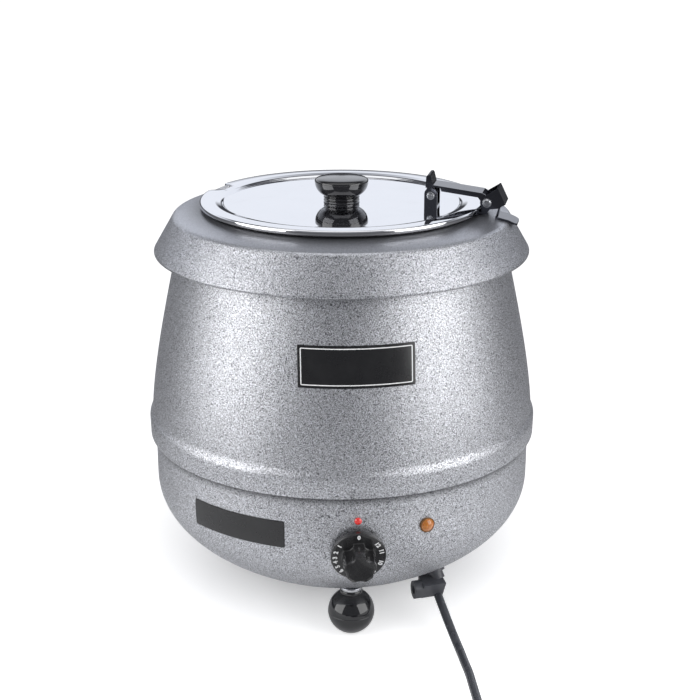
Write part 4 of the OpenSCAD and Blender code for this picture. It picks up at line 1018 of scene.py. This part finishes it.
# How far the grip narrows upwards, where its raised edge line ends and where its sunken face starts
GRIP_TAPER, EDGE_IN, FACE_IN, FACE_SINK = 0.25, 1.5, 1.75, 0.28
NUMBER_TURNS = (0, 54, 74, 90, 103, 118, 134, 163, 192, 221, 251, 284, 307)
NUMBER_R, NUMBER_SIZE, INK_LIFT, INK_WEIGHT = 18.9, 4.9, 0.03, 0.24


def soft_min(values, sharpness):
    """A rounded minimum: -log(sum(exp(-k v))) / k."""
    v = np.array(values)
    low = v.min(0)
    return low - np.log(np.exp(-sharpness * (v - low)).sum(0)) / sharpness


def grip_radius(angle):
    """The grip's outline: a circle with two deep hollows beside its top lobe and three shallow ones below.

    A hollow is a circle of radius r whose centre lies `far` out, and is met at
    far cos(off) - sqrt(r^2 - (far sin(off))^2).
    """
    runs = [np.full(angle.shape, GRIP_R)]
    for at, (far, r) in HOLLOWS:
        off = angle - np.radians(at)
        across = far * np.sin(off)
        hit = (np.abs(across) < r) & (np.cos(off) > 0)
        near = far * np.cos(off) - np.sqrt(np.where(hit, r * r - across ** 2, 0))
        runs.append(np.where(hit, near, GRIP_R + 3.0))
    return soft_min(runs, 3.0)


def dial_grid():
    """The dial on a polar grid: disc, rounded rim, fillet up into the grip, its fluted side and its face."""
    a = np.linspace(0, 2 * np.pi, 360, endpoint=False)
    grip = grip_radius(a)
    top = DISC_TOP + GRIP_H
    flat_from, flat_to = DIAL_R - RIM_ROUND, grip + RIM_ROUND
    side_h = GRIP_H - FILLET - TOP_ROUND

    def rounded(r, z, radius, a0, a1, n):
        return [polar(r + x, z + y, a) for x, y in arc([0, 0], radius, a0, a1, n)]

    rows = [polar(0, DISC_LOW, a), polar(DIAL_R - LOW_ROUND, DISC_LOW, a)]
    rows += rounded(DIAL_R - LOW_ROUND, DISC_LOW + LOW_ROUND, LOW_ROUND, -90, 0, 3)
    rows += rounded(flat_from, DISC_TOP - RIM_ROUND, RIM_ROUND, 0, 90, 6)
    rows += [polar(flat_from + (flat_to - flat_from) * t, DISC_TOP, a) for t in (0.25, 0.5, 0.75)]
    rows += rounded(grip + FILLET, DISC_TOP + FILLET, FILLET, 270, 180, 5)
    for t in np.linspace(0, 1, 8)[1:]:
        rows.append(polar(grip - GRIP_TAPER * t, DISC_TOP + FILLET + side_h * t, a))
    rows += rounded(grip - GRIP_TAPER - TOP_ROUND, top - TOP_ROUND, TOP_ROUND, 0, 90, 5)[1:]
    rows.append(polar(grip - EDGE_IN, top, a))
    rows += [polar((grip - FACE_IN) * k, top - FACE_SINK, a) for k in (1.0, 0.75, 0.5, 0.25, 0.0)]
    return np.array(rows)


def lettering(characters, size, place):
    """The mesh of one short text, centred, a little thick, its x and y laid along the frame's x and y."""
    data = bpy.data.curves.new("numbers", "FONT")
    data.body = characters
    data.size = size
    data.align_x, data.align_y = "CENTER", "CENTER"
    data.extrude = INK_LIFT
    data.offset = INK_WEIGHT
    data.resolution_u = 4
    holder = linked("numbers", data)
    bpy.context.view_layer.update()
    mesh = bpy.data.meshes.new_from_object(holder.evaluated_get(bpy.context.evaluated_depsgraph_get()))
    bpy.data.objects.remove(holder)
    points = np.empty(len(mesh.vertices) * 3)
    mesh.vertices.foreach_get("co", points)
    faces = [list(p.vertices) for p in mesh.polygons]
    bpy.data.meshes.remove(mesh)
    return moved(points.reshape(-1, 3), place), faces


def dial_numbers():
    """0 at the top and 1 to 12 anticlockwise, each standing with its head outwards."""
    # The frame's -X is up: a text's x runs towards the frame's +Y when its head points to -X
    spot = Matrix.Translation((-NUMBER_R, 0, DISC_TOP + INK_LIFT)) @ rotation("Z", 90)
    return joined(
        lettering(str(number), NUMBER_SIZE, DIAL_FRAME @ rotation("Z", turn) @ spot)
        for number, turn in enumerate(NUMBER_TURNS)
    )


points, faces = surface(dial_grid())
piece("dial_knob", moved(points, DIAL_FRAME), faces, "dial", ("dial",), DIAL, "dial_black", 42)
piece("dial_numbers", *dial_numbers(), "dial", finish=INK, slot="dial_black")

MARK_FRAME = on_bowl(FRONT, 135.5)
PILOT_FRAME = on_bowl(FRONT + 20, 125.5)


def dome_profile(radius, low, rise):
    """A lamp cap: short wall, rounded shoulder and a low dome."""
    dome = arc([0, rise - radius * 0.75], radius * 1.25, 37, 90, 18)
    return line([[0, low], [radius - 0.15, low], [radius, low + 0.15], [radius, rise - 0.1]], dome)


def bezel_profile():
    """The pilot lamp's rim: a flat ring with a rounded edge and a seat for the cap."""
    wall = [[0, 0.05], [6.3, 0.05], [6.4, 0.15], [6.4, 1.1]]
    seat = [[5.65, 1.7], [5.65, 0.65], [0, 0.65]]
    return line(wall, arc([5.95, 1.25], 0.45, 0, 90, 6), seat)


for name, profile, place, steps, node, finish, slot, sharp in (
    ("marker_cap", dome_profile(3.0, 0.1, 0.8), MARK_FRAME, 96, "marker_lens", RED_LENS, "red_lens", 60),
    ("pilot_cap", dome_profile(5.6, 0.7, 1.4), PILOT_FRAME, 128, "pilot_lens", AMBER_LENS, "amber_lens", 60),
    ("pilot_ring", bezel_profile(), PILOT_FRAME, 128, "pilot_bezel", PILOT_RIM, "lamp_dark", 35),
):
    turned(
        name, profile, "kettle", place=place, steps=steps, stands_for=(node,), finish=finish, slot=slot,
        sharp=sharp,
    )

# ---- plates --------------------------------------------------------------------------------


def outline(w, h, corner):
    """A rounded rectangle's outline, anticlockwise, with points all along its straight sides."""
    corners = [
        arc([sx * (w / 2 - corner), sy * (h / 2 - corner)], corner, 90 * k, 90 * k + 90, 10)
        for k, (sx, sy) in enumerate(((1, 1), (-1, 1), (-1, -1), (1, -1)))
    ]
    shares = np.linspace(0, 1, 29)[1:-1, None]
    runs = []
    for here, after in zip(corners, corners[1:] + corners[:1]):
        runs += [here, here[-1] + shares * (after[0] - here[-1])]
    return np.concatenate(runs)


def on_shell(flat, lift, angle, z, radius_at):
    """Lays a flat outline on a spun shell: x is measured square across the view of its middle, y up."""
    r = radius_at(z + flat[:, 1])
    a = np.radians(angle) + np.arcsin(flat[:, 0] / r)
    return polar(r + lift, z + flat[:, 1], a)


# The easing of a plate's front edge, and the share of it that the first step takes
PLATE_EASE, FIRST_EASE = 0.15, 0.3
PLATE_LIFT = 0.12


def laid_sheet(w, h, corner, thick, angle, z, radius_at):
    """A thin plate on the shell: rings that grow from its back's middle and shrink to its front's."""
    rim = outline(w, h, corner)
    front = PLATE_LIFT + thick

    def ring(inset, lift):
        return on_shell(rim * [1 - 2 * inset / w, 1 - 2 * inset / h], lift, angle, z, radius_at)

    insets = min(w, h) / 2 * np.linspace(0, 1, 14)[1:]
    rows = [on_shell(0 * rim, PLATE_LIFT, angle, z, radius_at)]
    rows += [ring(inset, PLATE_LIFT) for inset in insets[::-1]]
    rows += [ring(0, PLATE_LIFT), ring(0, front - PLATE_EASE)]
    rows += [ring(PLATE_EASE * FIRST_EASE, front - PLATE_EASE * FIRST_EASE), ring(PLATE_EASE, front)]
    rows += [ring(inset, front) for inset in insets]
    rows += [on_shell(0 * rim, front, angle, z, radius_at)]
    return surface(np.array(rows))


def border_band(w, h, corner, wide, lift, angle, z, radius_at):
    """A printed border: the band between two rounded outlines, lifted a hair off the plate."""
    outer = outline(w, h, corner)
    inner = outline(w - 2 * wide, h - 2 * wide, corner - wide)
    low = lift - INK_LIFT
    edges = ((outer, low), (outer, lift), (inner, lift), (inner, low))
    return surface(np.array([on_shell(f, k, angle, z, radius_at) for f, k in edges]), along=True)


def chord(along, r):
    """The straight width of a plate that measures `along` round a shell of radius r."""
    return 2 * r * np.sin(along / r / 2)


PLATE_Z, PLATE_H, PLATE_THICK = 262.0, 33.0, 0.5
PLATE_W = chord(94.0, float(barrel_radius(PLATE_Z)))
LABEL_Z, LABEL_H, LABEL_THICK, LABEL_ANGLE = 120.5, 23.5, 0.4, FRONT - 36.2
LABEL_W = chord(90.0, BOWL_R)
BORDER_IN, BORDER_H, BORDER_WIDE, BORDER_LIFT = 2.2, 28.8, 0.75, 0.67

panel = laid_sheet(PLATE_W, PLATE_H, 0.8, PLATE_THICK, FRONT, PLATE_Z, barrel_radius)
piece("name_panel", *panel, "kettle", ("name_plate",), PLATE, "plate_black")
panel = laid_sheet(LABEL_W, LABEL_H, 1.2, LABEL_THICK, LABEL_ANGLE, LABEL_Z, bowl_radius)
piece("label_panel", *panel, "kettle", ("label_plate",), PLATE, "plate_black")
border = border_band(
    PLATE_W - 2 * BORDER_IN, BORDER_H, 1.0, BORDER_WIDE, BORDER_LIFT, FRONT, PLATE_Z, barrel_radius,
)
piece("name_border", *border, "kettle", finish=INK, slot="plate_black")

# ---- gland and hinge -----------------------------------------------------------------------

dressed("cord_gland", "kettle", GLAND, 0.9, 4)
for node, body, width in (
    ("hinge_arm", "arm", 0.7), ("hinge_bracket", "pot", 0.7), ("lid_bracket", "lid", 0.7),
    ("arm_pin", "pot", 0.25), ("arm_pin_nut", "pot", 0.2), ("lid_pin", "lid", 0.25),
    ("lid_pin_nut", "lid", 0.2),
):
    dressed(node, body, PLATED if "pin" in node else HINGE, width)

# ---- CAD nodes that show as they are -------------------------------------------------------

PLAIN = {
    "base_cover": UNDER, "tie_rods": PLATED, "tie_nuts": PLATED, "foot_studs": PLATED, "foot_nuts": PLATED,
    "heating_element": ELEMENT, "element_clamps": PLATED, "clamp_studs": PLATED,
    "thermostat_body": THERMOSTAT, "thermostat_shaft": PLATED, "thermostat_screws": PLATED,
    "capillary": COPPER, "bulb_clip": PLATED, "thermal_cutout": CERAMIC, "terminal_block": CERAMIC,
    "earth_stud": BRASS, "wiring": WIRES, "marker_body": LAMP_WHITE, "pilot_body": LAMP_DARK,
    "pilot_nut": PLATED, "gland_nut": GLAND, "gland_screw": PLATED, "knob_washer": PLATED,
    "knob_screw": PLATED, "bracket_rivets": HINGE,
}
for node, finish in PLAIN.items():
    mesh = NODES[node].data
    mesh.materials.clear()
    mesh.materials.append(finish)

# ---- floor, backdrop and light, in metres --------------------------------------------------

FLOOR_LEFT, FLOOR_RIGHT, FLOOR_FRONT, FLOOR_BACK = -12, 12, -6, 18
FLOOR_DARK = (0.16, 0.16, 0.165)
# The camera's glow fades towards a spot under the kettle's back, which paints a soft shadow there on top of
# the lamps' own shadow
PAINTED_SHADOW_BACK = 0.08
AIM_Z = 0.2


def floor_finish():
    """A pale floor: white to the camera but for a soft shadow, and dark where the lid and shell mirror it."""
    made, tree, shader = new_finish("pale_floor")
    where = place_of(tree)
    cloud = blend(tree, noise(tree, where, 3.0), (0.8, 0.8, 0.805), (0.84, 0.84, 0.84))
    behind = span(tree, put(tree, "SeparateXYZ", {0: where}).outputs[1], -0.05, 0.4)
    away = span(tree, length(tree, where), 0.45, 0.9)
    colour = blend(tree, math(tree, "MAXIMUM", behind, away), cloud, FLOOR_DARK)
    wire_up(tree, shader, Base_Color=colour, Roughness=0.7, Specular_IOR_Level=0.1)

    # Painted shadow: near that spot the glow is weaker, so the floor's shadow is partly painted and partly
    # cast by the lamps
    offset = {0: where, 1: (0.0, -PAINTED_SHADOW_BACK, 0.0)}
    from_painted_shadow = put(tree, "VectorMath", offset, operation="ADD").outputs[0]
    strength = span(tree, length(tree, from_painted_shadow), 0.08, 0.28, 0.15, 1.0)
    glow = put(tree, "Emission", {"Color": (1, 1, 1, 1), "Strength": strength})
    both = put(tree, "AddShader", {0: shader.outputs[0], 1: glow.outputs[0]})
    seen = put(tree, "LightPath").outputs["Is Camera Ray"]
    mixed = put(tree, "MixShader", {0: seen, 1: shader.outputs[0], 2: both.outputs[0]})
    tree.links.new(mixed.outputs[0], tree.nodes["Material Output"].inputs[0])
    return made


def floor_piece():
    """One flat face under the kettle, which carries on behind it as the backdrop."""
    mesh = bpy.data.meshes.new("floor")
    corners = [
        (FLOOR_LEFT, FLOOR_FRONT, 0), (FLOOR_RIGHT, FLOOR_FRONT, 0),
        (FLOOR_RIGHT, FLOOR_BACK, 0), (FLOOR_LEFT, FLOOR_BACK, 0),
    ]
    mesh.from_pydata(corners, [], [(0, 1, 2, 3)])
    linked("floor", mesh)
    mesh.materials.append(floor_finish())


def studio_world():
    """White for the camera, soft grey light on the kettle, and for mirrors a studio of its own.

    Metal sees a white backdrop low behind the kettle, a dark ceiling over it and a dark room in front.
    """
    world = bpy.data.worlds.new("studio")
    bpy.context.scene.world = world
    world.use_nodes = True
    tree = world.node_tree
    room = tree.nodes["Background"]
    room.inputs["Color"].default_value = (0.93, 0.95, 1.0, 1)
    room.inputs["Strength"].default_value = 0.5
    way = put(tree, "SeparateXYZ", {0: put(tree, "TexCoord").outputs["Generated"]}).outputs
    # The backdrop's lower and upper edge, by the sine of a ray's elevation
    high = times(tree, span(tree, way[2], 0.12, 0.19), span(tree, way[2], 0.64, 0.48))
    back = span(tree, way[1], 0.1, 0.5)
    dark = blend(tree, back, (0.22, 0.224, 0.24), (0.05, 0.052, 0.06))
    shown = blend(tree, times(tree, high, back), dark, (0.9, 0.93, 1.0))
    mirrored = put(tree, "Background", {"Color": shown, "Strength": 1.0})
    white = put(tree, "Background", {"Color": (1, 1, 1, 1), "Strength": 1.0})
    path = put(tree, "LightPath").outputs
    shiny = math(tree, "MAXIMUM", path["Is Glossy Ray"], path["Is Transmission Ray"])
    lit = put(tree, "MixShader", {0: shiny, 1: room.outputs[0], 2: mirrored.outputs[0]})
    seen = put(tree, "MixShader", {0: path["Is Camera Ray"], 1: lit.outputs[0], 2: white.outputs[0]})
    tree.links.new(seen.outputs[0], tree.nodes["World Output"].inputs[0])


def softbox(name, azimuth, distance, height, size, power):
    """A square soft light at an azimuth from the kettle's front, turned to face the kettle."""
    data = bpy.data.lights.new(name, "AREA")
    data.shape = "SQUARE"
    data.size = size
    data.energy = power
    lamp = linked(name, data)
    a = np.radians(FRONT + azimuth)
    spot = Vector((distance * np.cos(a), distance * np.sin(a), height))
    lamp.rotation_euler = (Vector((0, 0, AIM_Z)) - spot).to_track_quat("-Z", "Y").to_euler()
    lamp.location = spot


floor_piece()
studio_world()
softbox("left_box", -70, 1.7, 0.75, 1.6, 20)
softbox("right_box", 59, 1.7, 0.75, 1.6, 20)
softbox("top_box", 0, 0.1, 2.1, 2.0, 11)

view = bpy.context.scene.view_settings
view.view_transform = "Standard"
